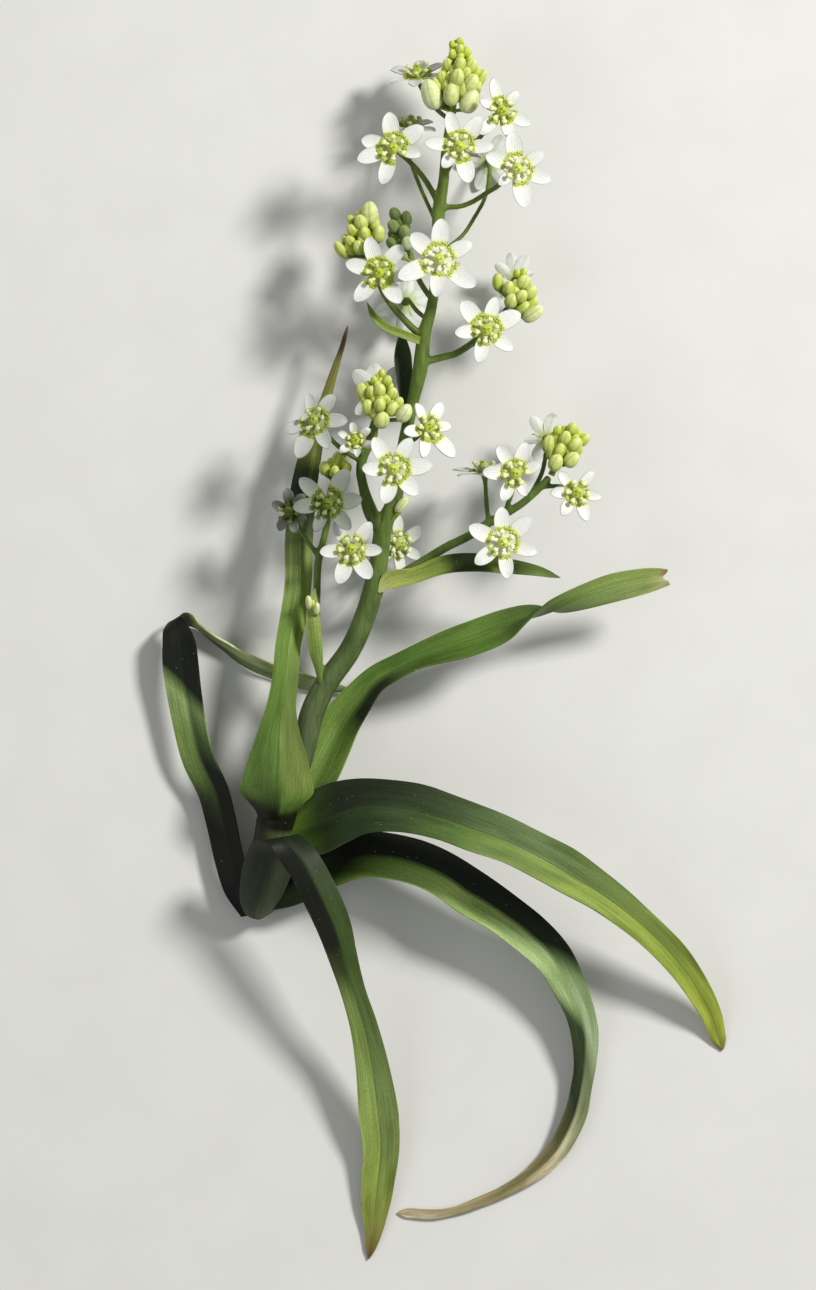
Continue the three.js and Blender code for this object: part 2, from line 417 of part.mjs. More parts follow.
// Leaves as [x, y, z, width, roll, fold], with the direction across where the blade turns over.
const LEAVES = {
  leaf_left_folded: { colour: darkLeafGreen, rows: [
    [-61, -84, 6.5, 9, 30, 0.25], [-65, -77, 7, 10.4, 32, 0.25], [-68.9, -66, 7.6, 11, 32, 0.2],
    [-71.3, -55, 8, 11.3, 32, 0.18], [-74, -45, 8.6, 11.6, 32, 0.15], [-78.5, -35, 9.4, 12, 32, 0.15],
    [-81.2, -25, 10, 11.8, 30, 0.15], [-83.3, -15, 10.6, 11.6, 28, 0.12], [-85, -5, 11, 10.8, 24, 0.1],
    [-86.2, 2, 10.8, 9.4, 16, 0.06], [-87, 7, 9.6, 7.6, 0, 0, [0.95, 0.3, 0]],
    [-86.4, 10.2, 7.6, 6.4, 0, 0, [0.8, 0.6, 0.1]], [-83.4, 10, 5.4, 6, 0, 0.05, [0.35, 0.6, 0.72]],
    [-80, 7.7, 4.4, 6.6, 0, 0.1, [0.16, 0.22, 0.96]], [-75, 4, 4, 7, 0, 0.1, [0.16, 0.24, 0.95]],
    [-70, 0.9, 4, 7, 0, 0.1, [0.24, 0.34, 0.9]], [-65, -2.5, 4, 7, 0, 0.1, [0.28, 0.46, 0.82]],
    [-60, -4.9, 4, 7, 0, 0.1, [0.3, 0.56, 0.76]], [-55.3, -6.7, 3.8, 6.8, 0, 0.1, [0.3, 0.6, 0.74]],
    [-46.5, -9.6, 3.6, 6.2, 0, 0.1, [0.2, 0.75, 0.6]], [-39, -11.3, 3.2, 4.2, 0, 0.1, [0.1, 0.85, 0.45]],
    [-30.5, -12.6, 3, 1.3, 0, 0.1, [0.1, 0.9, 0.4]],
  ] },
  leaf_upright: { colour: leafGreen, rows: [
    [-54.6, -57, 19.5, 9, 0, -0.2], [-54.2, -52.5, 23.8, 13, 0, -0.25], [-54, -49.4, 25.6, 18, 0, -0.3],
    [-54.4, -46, 26.8, 23, 0, -0.34], [-53.8, -41.6, 27.6, 22, 0, -0.36], [-53.4, -35, 28.2, 18.8, 0, -0.38],
    [-53.2, -27, 28.4, 14, 0, -0.4], [-52.4, -18, 28.2, 9.4, 0, -0.42], [-51, -8, 27.6, 8.2, 0, -0.4],
    [-50.2, 2, 26.8, 8, 0, -0.38], [-48.3, 12, 25.6, 8.4, 0, -0.36], [-47, 22, 24.2, 8.4, 0, -0.36],
    [-46.8, 35, 22.4, 8.8, 0, -0.34], [-45.5, 50, 20.8, 8.4, 0, -0.32], [-43.3, 62, 19.8, 7.2, 0, -0.3],
    [-39.3, 77, 19, 4.8, 0, -0.25], [-36, 88, 18.6, 2.8, 0, -0.2], [-33.1, 97, 18.4, 1.8, 0, -0.1],
    [-31.2, 104.2, 18.2, 1.1, 0, 0],
  ] },
  leaf_right_twisted: { colour: paleLeafGreen, rows: [
    [-50, -54, 12.8, 10, 0, 0.3], [-46, -47, 13.6, 13, 4, 0.34], [-40.4, -38, 15.4, 14.6, 10, 0.36],
    [-36.2, -30, 16.8, 14.2, 16, 0.36], [-32.4, -22.8, 18, 13.4, 22, 0.34], [-27.2, -15.8, 19.4, 12, 30, 0.3],
    [-21.7, -9.6, 20.8, 10.4, 38, 0.28], [-15, -5.8, 22, 10.4, 42, 0.28], [-7.5, -2.2, 23.2, 10.4, 40, 0.25],
    [1.8, 1.2, 24.6, 11.4, 30, 0.22], [10, 4.1, 25.6, 12, 26, 0.2], [18.7, 7.5, 26.4, 11.8, 32, 0.2],
    [25, 10.5, 27, 10.6, 54, 0.15], [30.5, 12.5, 27.4, 9.8, 80, 0.1], [36, 13.8, 27.8, 9.6, 118, 0.1],
    [44.5, 16.7, 28.2, 9.6, 142, 0.14], [54.5, 20.1, 28.6, 9.8, 156, 0.16], [63.5, 22.2, 28.9, 8.6, 162, 0.14],
    [68, 23.1, 29, 7.2, 162, 0.1], [71.6, 23.6, 29, 5.2, 162, 0.05],
  ] },
  leaf_long_arching: { colour: leafGreen, rows: [
    [-54, -61, 13, 10, 24, 0.3], [-50.6, -59.6, 16, 13.4, 22, 0.28], [-46, -58, 18.4, 18, 18, 0.26],
    [-40, -55.2, 22, 21, 18, 0.24], [-33, -52, 26.6, 20.6, 18, 0.22], [-25, -50, 30.4, 18.6, 18, 0.2],
    [-12, -50.6, 35.4, 17, 20, 0.2], [0, -53.6, 38, 16, 20, 0.2], [9.5, -57, 38.8, 16, 20, 0.2],
    [20, -60.8, 38.2, 15, 20, 0.2], [29.5, -65.6, 36.6, 14.8, 20, 0.2], [39, -70.9, 34.2, 14.6, 20, 0.2],
    [49, -77, 30.6, 12.8, 18, 0.2], [59.4, -84.8, 25.8, 11, 16, 0.2], [68.2, -92.6, 20.4, 10, 14, 0.18],
    [75.5, -100.6, 14.8, 9.2, 10, 0.16], [81, -108.2, 9.8, 8.2, 6, 0.12], [85.5, -116.4, 5.2, 6.6, 2, 0.08],
    [88.2, -123.4, 2.2, 4.4, 0, 0.04], [89.6, -128.2, 0.8, 1.8, 0, 0],
  ] },
  leaf_curled_dry_end: { colour: darkLeafGreen, rows: [
    [-56.5, -78, 7.6, 11, 10, 0.2], [-50, -75.6, 9.6, 13.4, 14, 0.2], [-42, -71.8, 11.8, 14.6, 18, 0.2],
    [-34, -68, 13.8, 15, 20, 0.2], [-25, -65.6, 15.6, 15.6, 20, 0.2], [-12, -67.4, 17, 15.4, 20, 0.22],
    [-1, -72, 17.4, 15, 20, 0.24], [7.5, -77.6, 17, 15.8, 20, 0.24], [17.5, -83.9, 15.6, 14.6, 20, 0.24],
    [27, -91, 13.8, 14.2, 20, 0.24], [34.5, -98.8, 12, 12.8, 20, 0.22], [39.2, -107, 10.2, 11.4, 18, 0.2],
    [43, -115.6, 8.8, 9.8, 16, 0.2], [44.9, -124, 7.4, 9, 14, 0.2], [44.9, -133, 6, 7.4, 12, 0.2],
    [43.6, -141, 5, 6.8, 10, 0.18], [42, -148.4, 4.4, 7.2, 8, 0.18], [39.2, -155.2, 3.8, 7, 6, 0.18],
    [35.8, -160.8, 3.2, 6.6, 4, 0.18], [31.2, -165.6, 2.8, 5.8, 2, 0.16], [25.5, -170, 2.4, 4.4, 0, 0.14],
    [18.5, -173.9, 2, 3.6, 0, 0.12], [10.5, -177.3, 1.6, 3, 0, 0.1], [3, -180, 1.2, 2.6, 0, 0.08],
    [-4, -181.1, 0.9, 2.9, 0, 0.06], [-11, -180.7, 0.7, 2.4, 0, 0.04], [-15.2, -180.6, 0.6, 1.2, 0, 0],
  ] },
  leaf_front_hanging: { colour: leafGreen, rows: [
    [-56, -73, 13, 8, 0, -0.1, [-1, 0, 0]], [-56, -66, 20, 9, 0, -0.1, [-1, 0, 0]],
    [-54.4, -60.4, 28, 9.4, 0, -0.15, [-1, 0.1, 0]], [-51, -60.4, 35.4, 9.6, 0, -0.25, [-0.95, -0.3, 0]],
    [-46, -66.8, 38.4, 11, 0, -0.4, [-0.85, -0.5, 0]], [-41, -75.8, 37.8, 11.6, 0, -0.4, [-0.88, -0.45, 0]],
    [-35.6, -87.8, 34.8, 11, 0, -0.36, [-0.92, -0.38, 0]], [-32.6, -98, 30.8, 9.2, 0, -0.3, [-0.94, -0.34, 0]],
    [-29.4, -109, 26, 8, 0, -0.15, [-0.94, -0.34, 0]], [-25.8, -121, 20.6, 9, 0, 0, [-0.97, -0.22, 0]],
    [-23, -135, 14.8, 11, 0, 0.1, [-1, -0.1, 0]], [-21.2, -149, 9.6, 12.6, 0, 0.14, [-1, -0.04, 0]],
    [-20.4, -160, 6.4, 11.6, 0, 0.14, [-1, 0.02, 0]], [-21.4, -170, 4.2, 10.6, 0, 0.14, [-1, 0.08, 0]],
    [-22.3, -178, 2.8, 9.4, 0, 0.12, [-1, 0.1, 0]], [-23, -187, 1.6, 5.6, 0, 0.08, [-1, 0.12, 0]],
    [-24.6, -195.6, 0.7, 1.4, 0, 0, [-1, 0.16, 0]],
  ] },
};

const BRACTS = {
  bract_lower_left: { colour: paleLeafGreen, rows: [
    [-38.6, -13, 24.5, 3, 0, -0.3], [-39.8, -6, 28, 4.2, 0, -0.3], [-41, 3, 30.6, 4.8, 0, -0.3],
    [-41.9, 12, 32.4, 3.4, 0, -0.25], [-41.6, 20, 33.4, 1, 0, 0],
  ] },
  bract_right: { colour: leafGreen, rows: [
    [-20.5, 19.5, 28, 3.4, 0, 0.3], [-10, 24, 31, 4.6, 10, 0.35], [0, 27.4, 33, 6, 16, 0.4],
    [10, 28, 34.4, 6, 18, 0.4], [20, 27, 35, 5, 16, 0.35], [30, 25.5, 34.6, 3.2, 10, 0.2],
    [36.8, 23.4, 33.4, 0.9, 0, 0],
  ] },
  bract_mid_left: { colour: leafGreen, rows: [
    [-6.5, 98.6, 29, 2.2, 0, 0.2], [-13, 101.2, 31.4, 2.6, 0, 0.25], [-18.5, 103.4, 32.4, 2.6, 0, 0.25],
    [-22.4, 106.6, 32.8, 2.2, 0, 0.2], [-25, 111.4, 33, 0.9, 0, 0],
  ] },
  bract_behind: { colour: darkLeafGreen, rows: [
    [-10.6, 76, 27, 3, 10, 0.2], [-12, 81, 24.6, 4.6, 10, 0.25], [-12.9, 88, 22.8, 5.2, 10, 0.25],
    [-13.5, 95, 20.8, 5.4, 10, 0.2], [-14, 103, 18, 1, 0, 0],
  ] },
};

// Centre and unit vectors of a flower: out of its face, and two across it.
function bloomFrame(bloom) {
  const out = point(bloom.faces).normalize();
  const helper = Math.abs(out.y) > 0.9 ? UP : new THREE.Vector3(0, 1, 0);
  const level = helper.clone().addScaledVector(out, -helper.dot(out)).normalize();
  const side = new THREE.Vector3().crossVectors(out, level);
  return { centre: point(bloom.centre), out, level, side };
}

// The six tepal directions and lengths, in turn round the flower: through the tips seen
// in the photo, or even ones.
function tepalSpokes(bloom) {
  const { centre, out, level, side } = bloomFrame(bloom);
  const spokes = [];
  for (let index = 0; index < TEPALS; index += 1) {
    if (bloom.tips) {
      const [x, y] = bloom.tips[index];
      const reach = new THREE.Vector3(x - centre.x, y - centre.y, 0);
      reach.z = -(out.x * reach.x + out.y * reach.y) / out.z;
      spokes.push({ length: reach.length(), along: reach.normalize() });
    } else {
      const along = level.clone().applyAxisAngle(out, (index * 60 + bloom.turn) * DEGREE);
      const length = bloom.radius * (1 + LENGTH_VARIATION * Math.sin(index * 2.4 + bloom.turn));
      spokes.push({ length, along });
    }
  }
  for (const spoke of spokes) {
    spoke.angle = Math.atan2(spoke.along.dot(side), spoke.along.dot(level));
  }
  return spokes.sort((first, second) => first.angle - second.angle);
}

// Angle of the notch after each tepal, halfway to the next one.
function notchAngles(spokes) {
  return spokes.map((spoke, index) => {
    const next = spokes[(index + 1) % TEPALS];
    const step = (next.angle - spoke.angle + 4 * Math.PI) % (2 * Math.PI);
    return spoke.angle + step / 2;
  });
}

// Turn of the six-sided hole that suits the notches best.
function holeTurn(bloom) {
  const notches = notchAngles(tepalSpokes(bloom));
  const total = notches.reduce((sum, angle, index) => sum + angle - (index * Math.PI) / 3, 0);
  return total / TEPALS;
}

// Points of one face of a perianth, nine for each tepal: hole, notch, middle of the base,
// low, middle and high point of the broad part, low and high shoulder, and the tip.
function tepalPoints(bloom, raise) {
  const { centre, out, level, side } = bloomFrame(bloom);
  const spokes = tepalSpokes(bloom);
  const notches = notchAngles(spokes);
  const turn = holeTurn(bloom);
  const cup = bloom.cup ?? TEPAL_CUP;
  const polar = (radius, angle, lift) => {
    const spot = centre.clone().addScaledVector(out, lift + raise);
    spot.addScaledVector(level, radius * Math.cos(angle));
    return spot.addScaledVector(side, radius * Math.sin(angle));
  };
  return spokes.flatMap((spoke, index) => {
    const half = spoke.length * TEPAL_WIDTH_SHARE;
    const whorl = WHORL_HEIGHTS[index % 2];
    const spot = (share, offset, lift) => {
      const radius = Math.hypot(spoke.length * share, offset);
      return polar(radius, spoke.angle + Math.atan2(offset, spoke.length * share), lift);
    };
    return [
      polar(HOLE_RADIUS, turn + (index * Math.PI) / 3, 0),
      polar(NOTCH_RADIUS, notches[index], 0),
      polar(NOTCH_RADIUS, spoke.angle, -ROOT_DROP),
      spot(BROAD_SHARE, -half, cup + whorl),
      spot(BROAD_SHARE, 0, cup + whorl - TEPAL_CHANNEL),
      spot(BROAD_SHARE, half, cup + whorl),
      spot(SHOULDER_SHARE, -half * SHOULDER_WIDTH, cup * SHOULDER_RISE + whorl),
      spot(SHOULDER_SHARE, half * SHOULDER_WIDTH, cup * SHOULDER_RISE + whorl),
      spot(1, 0, cup * TIP_RISE + whorl),
    ];
  });
}

// Star of six tepals joined round an open middle, the two whorls a little apart in height.
function perianthSolid(bloom) {
  const near = tepalPoints(bloom, TEPAL_THICK / 2);
  const far = tepalPoints(bloom, -TEPAL_THICK / 2);
  const positions = near.concat(far).flatMap((corner) => corner.toArray());
  const faces = [];
  for (let index = 0; index < TEPALS; index += 1) {
    const base = index * 9;
    const last = ((index + TEPALS - 1) % TEPALS) * 9;
    const [hole, notch, root] = [base, base + 1, base + 2];
    const [low, middle, high] = [base + 3, base + 4, base + 5];
    const [lowShoulder, highShoulder, tip] = [base + 6, base + 7, base + 8];
    const sheet = [
      [last, last + 1, root], [last, root, hole], [hole, root, notch],
      [last + 1, low, middle], [last + 1, middle, root],
      [root, middle, high], [root, high, notch],
      [low, lowShoulder, middle], [middle, lowShoulder, highShoulder], [middle, highShoulder, high],
      [lowShoulder, tip, highShoulder],
    ];
    const rim = [last + 1, low, lowShoulder, tip, highShoulder, high, notch];
    const edges = rim.slice(1).map((corner, place) => [rim[place], corner]);
    edges.push([hole, last]);
    for (const [a, b, c] of sheet) {
      faces.push([a, b, c], [c + near.length, b + near.length, a + near.length]);
    }
    for (const [a, b] of edges) {
      faces.push([b, a, a + near.length], [b, a + near.length, b + near.length]);
    }
  }
  return solidFromFaces(positions, faces);
}

// Ovary, receptacle and pedicel in one six-sided run from the top down to the stalk,
// with a stamen drawn out of each side just above the tepals.
function bloomHeartSolid(bloom) {
  const { centre, out, level, side } = bloomFrame(bloom);
  const turn = holeTurn(bloom);
  const upFrom = (height) => centre.clone().addScaledVector(out, height);
  const spots = HEART_PROFILE.map(([height, radius]) => ({ centre: upFrom(height), radius }));
  for (const row of bloom.route.slice().reverse()) {
    spots.push({ centre: point(row), radius: PEDICEL });
  }
  const across = level.clone().multiplyScalar(Math.cos(turn)).addScaledVector(side, Math.sin(turn));
  const sections = [[upFrom(STYLE_TOP)]];
  spots.forEach((spot, index) => {
    const before = spots[Math.max(index - 1, 0)].centre;
    const after = spots[Math.min(index + 1, spots.length - 1)].centre;
    const along = new THREE.Vector3().subVectors(before, after).normalize();
    across.addScaledVector(along, -across.dot(along)).normalize();
    const lift = new THREE.Vector3().crossVectors(along, across);
    sections.push(circlePoints(spot.centre, across, lift, spot.radius, TEPALS));
  });
  const starts = sectionStarts(sections);
  const positions = sections.flat().flatMap((corner) => corner.toArray());
  const faces = [];
  for (let row = 0; row + 1 < sections.length; row += 1) {
    if (row === STAMEN_ROW) {
      addStamens(faces, positions, bloom, [starts[row], starts[row + 1]]);
    } else {
      joinSections(faces, starts, sections, row, Infinity);
    }
  }
  capSection(faces, starts[sections.length - 1], TEPALS, false, false);
  return solidFromFaces(positions, faces);
}

// Six stamens, each from one side of the receptacle out to a square-ended anther.
function addStamens(faces, positions, bloom, [upper, lower]) {
  const { centre, out, level, side } = bloomFrame(bloom);
  const turn = holeTurn(bloom);
  const reach = bloom.stamenReach ?? STAMEN_REACH;
  for (let index = 0; index < TEPALS; index += 1) {
    const next = (index + 1) % TEPALS;
    const angle = turn + ((index + 0.5) * Math.PI) / 3;
    const spoke = level.clone().multiplyScalar(Math.cos(angle)).addScaledVector(side, Math.sin(angle));
    const width = new THREE.Vector3().crossVectors(out, spoke);
    const anther = centre.clone().addScaledVector(spoke, reach).addScaledVector(out, STAMEN_HEIGHT);
    const start = positions.length / 3;
    const corners = [[-1, 1], [1, 1], [1, -1], [-1, -1]];
    for (const [wide, high] of corners) {
      const corner = anther.clone().addScaledVector(width, wide * ANTHER_HALF);
      positions.push(...corner.addScaledVector(out, high * ANTHER_HALF).toArray());
    }
    const root = [upper + index, upper + next, lower + next, lower + index];
    for (let corner = 0; corner < 4; corner += 1) {
      const turnTo = (corner + 1) % 4;
      faces.push([root[corner], root[turnTo], start + turnTo]);
      faces.push([root[corner], start + turnTo, start + corner]);
    }
    faces.push([start, start + 1, start + 2], [start, start + 2, start + 3]);
  }
}

// A bud with its own short pedicel: it leans out from the head's axis and turns up along it.
function budSolid(root, centre, axis, radius, halfLength) {
  const along = centre.clone().sub(root).normalize().multiplyScalar(BUD_LEAN).add(axis).normalize();
  const helper = Math.abs(along.z) > 0.8 ? new THREE.Vector3(1, 0, 0) : UP;
  const across = new THREE.Vector3().crossVectors(along, helper).normalize();
  const lift = new THREE.Vector3().crossVectors(across, along);
  const sections = [circlePoints(root, across, lift, BUD_PEDICEL, BUD_SIDES)];
  for (const [height, share] of BUD_PROFILE) {
    const middle = centre.clone().addScaledVector(along, height * halfLength);
    sections.push(circlePoints(middle, across, lift, radius * share, BUD_SIDES));
  }
  sections.push([centre.clone().addScaledVector(along, halfLength)]);
  return loftSolid(sections);
}

function budHeadSolid(head) {
  const foot = point(head.axis[0]);
  const tip = point(head.axis[head.axis.length - 1]);
  const span = new THREE.Vector3().subVectors(tip, foot);
  const axis = span.clone().normalize();
  const solids = [tubeSolid(head.axis, PEDICEL_SIDES)];
  for (const [x, y, z, radius, halfLength] of head.buds) {
    const centre = new THREE.Vector3(x, y, z);
    const level = centre.clone().sub(foot).dot(span) / span.lengthSq();
    const wanted = level - (halfLength + BUD_STALK_DROP) / span.length();
    const share = Math.min(Math.max(wanted, BUD_STRETCH[0]), BUD_STRETCH[1]);
    const root = foot.clone().addScaledVector(span, share);
    solids.push(budSolid(root, centre, axis, radius, halfLength));
  }
  return lighten(unite(solids));
}

// The stalk with every branch and the heart of every flower.
function stalkSolid() {
  const solids = [tubeSolid(MAIN_STEM, STEM_SIDES)];
  for (const rows of Object.values(BRANCHES)) {
    solids.push(tubeSolid(rows, BRANCH_SIDES));
  }
  for (const bloom of BLOOMS) {
    solids.push(bloomHeartSolid(bloom));
  }
  return lighten(unite(solids));
}

// The stalk's tubes a little swollen, to cut what would touch them.
function stalkSpace() {
  const solids = [tubeSolid(MAIN_STEM, STEM_SIDES, FIT_GAP)];
  for (const rows of Object.values(BRANCHES)) {
    solids.push(tubeSolid(rows, BRANCH_SIDES, FIT_GAP));
  }
  return unite(solids);
}

// Named mesh of a solid, flat shaded, with what would sink below the surface cut off.
function meshOf(name, solid, colour) {
  const raised = solid.trimByPlane([0, 0, 1], 0);
  const { vertProperties, triVerts } = raised.getMesh();
  const geometry = new THREE.BufferGeometry();
  geometry.setAttribute('position', new THREE.BufferAttribute(new Float32Array(vertProperties), 3));
  geometry.setIndex(new THREE.BufferAttribute(new Uint32Array(triVerts), 1));
  geometry.computeVertexNormals();
  const mesh = new THREE.Mesh(geometry, colour());
  mesh.name = name;
  return mesh;
}

function buildPlant() {
  const plant = new THREE.Group();
  plant.name = 'star_lily';
  const space = stalkSpace();
  plant.add(meshOf('flower_stalk', stalkSolid(), stalkGreen));
  plant.add(meshOf('leaf_sheath_neck', tubeSolid(NECK, NECK_SIDES), sheathGreen));
  const neckSpace = tubeSolid(NECK, NECK_SIDES, FIT_GAP);
  for (const [name, leaf] of Object.entries(LEAVES)) {
    const solid = keepClear(keepClear(bladeSolid(leaf.rows), neckSpace), space);
    plant.add(meshOf(name, solid, leaf.colour));
  }
  for (const [name, bract] of Object.entries(BRACTS)) {
    const blade = bladeSolid(bract.rows, { columns: BRACT_COLUMNS, thick: BRACT_THICK });
    plant.add(meshOf(name, keepClear(blade, space), bract.colour));
  }
  for (const bloom of BLOOMS) {
    plant.add(meshOf(`tepals_${bloom.name}`, perianthSolid(bloom), tepalWhite));
  }
  for (const head of BUD_HEADS) {
    plant.add(meshOf(head.name, keepClear(budHeadSolid(head), space), head.colour));
  }
  return plant;
}

export default buildPlant();
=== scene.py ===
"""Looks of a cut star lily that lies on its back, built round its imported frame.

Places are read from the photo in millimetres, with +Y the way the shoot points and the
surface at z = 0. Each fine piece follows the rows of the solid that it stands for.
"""

import math
import random
from functools import partial

import bpy
import numpy as np
from mathutils import Matrix, Vector


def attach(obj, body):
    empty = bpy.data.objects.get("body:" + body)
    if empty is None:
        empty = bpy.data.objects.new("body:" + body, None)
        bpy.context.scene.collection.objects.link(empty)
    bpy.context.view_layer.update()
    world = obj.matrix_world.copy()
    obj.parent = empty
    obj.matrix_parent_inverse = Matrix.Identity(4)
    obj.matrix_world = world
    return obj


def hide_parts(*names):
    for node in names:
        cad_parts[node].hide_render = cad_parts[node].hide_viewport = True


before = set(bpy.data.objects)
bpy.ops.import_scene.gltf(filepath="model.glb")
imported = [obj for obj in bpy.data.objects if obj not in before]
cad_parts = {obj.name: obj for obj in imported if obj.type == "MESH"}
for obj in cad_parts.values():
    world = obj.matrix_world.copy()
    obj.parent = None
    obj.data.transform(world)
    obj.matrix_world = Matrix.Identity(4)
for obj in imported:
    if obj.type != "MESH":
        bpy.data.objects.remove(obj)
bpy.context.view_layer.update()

bl_info = {
    "name": "Cut star lily",
    "version": (1, 0, 0),
    "blender": (4, 5, 0),
    "location": "View3D > Sidebar > Star lily",
    "description": "Builds the leaves, stalk, flowers and buds of a cut star lily",
    "category": "Add Mesh",
}

MM = 0.001
UP = np.array([0.0, 0.0, 1.0])


# Measured tables. A comma ends a row, a colon opens a named group and a semicolon ends it.

def numbers(text):
    """Rows of numbers."""
    return [[float(word) for word in row.split()] for row in text.split(",")]


def table(text):
    """Rows of numbers under each name."""
    return {name.strip(): numbers(rows) for name, rows in (group.split(":") for group in text.split(";"))}


# x, y, z and radius along the stalk's axis and its branches.
MAIN_STEM = numbers("""
-47.4 -40.5 20 3.4, -44.8 -30 21.4 3.8, -42.6 -20 22.3 3.95, -38 -10.4 22.9 3.8, -30.6 0 24 3.6,
 -26 10 25 3.5, -22.9 20 26 3.4, -21 30 26.5 3.1, -19.6 40 27 2.9, -16.3 48 27.5 2.5, -14.3 57 28 2.2,
 -13 67 28 2.1, -10.2 80 28 2, -8 90 28 2.5, -6.5 102 28 2.2, -4.3 110 28 1.8, -3 120 28 1.7,
 -2.3 131 28 1.7, -2 141 28 2.2, -0.5 150 28 1.8, 0.3 160 28 1.6, 1.9 171 28 1.4
""")

BRANCHES = table("""
lower_left: -38.5 -11 23 1.5, -40.4 -5 24.5 1.6, -41.3 5 26.5 1.4, -41 18 28.5 1.3, -40.6 28 30 1.3,
 -39 35 31 1.2, -37.4 42 31.5 1.1, -36.2 49 30.5 1;
upper_left: -20.5 38 27 2, -24 45 28.5 2.4, -26 52 29.5 1.7, -27 58 30 1.6, -25.8 63 30.5 1.6,
 -23 68 31.5 1.6;
right: -20.5 21.5 26 1.8, -14 24.5 27 1.7, -8 28 28 1.6, 0 33 29 1.5, 8 37 30 1.5, 14 41 30.5 1.5,
 20 44.3 31 1.4, 25 47.5 31.5 1.3, 30 52 32 1.3, 33.4 55.6 32.6 1.2;
mid_right: -6.5 92.5 28 1.3, -1 94 28 1.25, 3 95 28 1.2, 7 97.3 27.5 1.2, 13 101.5 26.5 1.1,
 17.5 106 26.5 1, 19.7 109.5 27 1;
mid_left: -6.3 100.5 28 1.3, -9.5 102.5 28.5 1.25, -13 106 29 1.2, -17 110.5 29.5 1.15, -20.5 116 29 1,
 -22.3 122 29 1;
dark_left: -3.5 112 28 1.1, -6 115 25 1, -8.7 119.5 21.5 1;
upper_right: -2 140.8 28 1.1, 1 142 28.3 1, 5 142.3 29 0.9, 9 143.8 30 0.9, 13 146.3 31 0.9,
 17 148.8 32.5 0.9, 21 152 34 0.9;
back_right: -2 127 28 0.8, 2 130 26 0.75, 6 133.5 24.5 0.75, 9.5 139 22 0.75, 12.3 144 19 0.75,
 14 149 14.5 0.75;
upper_left_fork: -2 143 28 1.1, -5.6 149.5 30 1, -9 154 32 0.95, -13 158 34 0.9;
upper_left_low: -2.2 136 28 0.9, -5.5 143 25 0.75, -8.5 150 22 0.75, -11.5 158 19 0.75
""")

USUAL_CUP = 1.1
USUAL_REACH = 3.4


def bloom_from(name, rows):
    """A flower's numbers under their names. The rise of its cup and the reach of its stamens are optional."""
    (age, shade, *special), centre, faces, *rest = rows
    cup, reach = special or (USUAL_CUP, USUAL_REACH)
    return {"name": name, "age": age, "shade": shade, "cup": cup, "reach": reach, "centre": np.array(centre),
            "faces": np.array(faces), "route": [row for row in rest if len(row) == 3],
            "tips": [row for row in rest if len(row) == 2]}
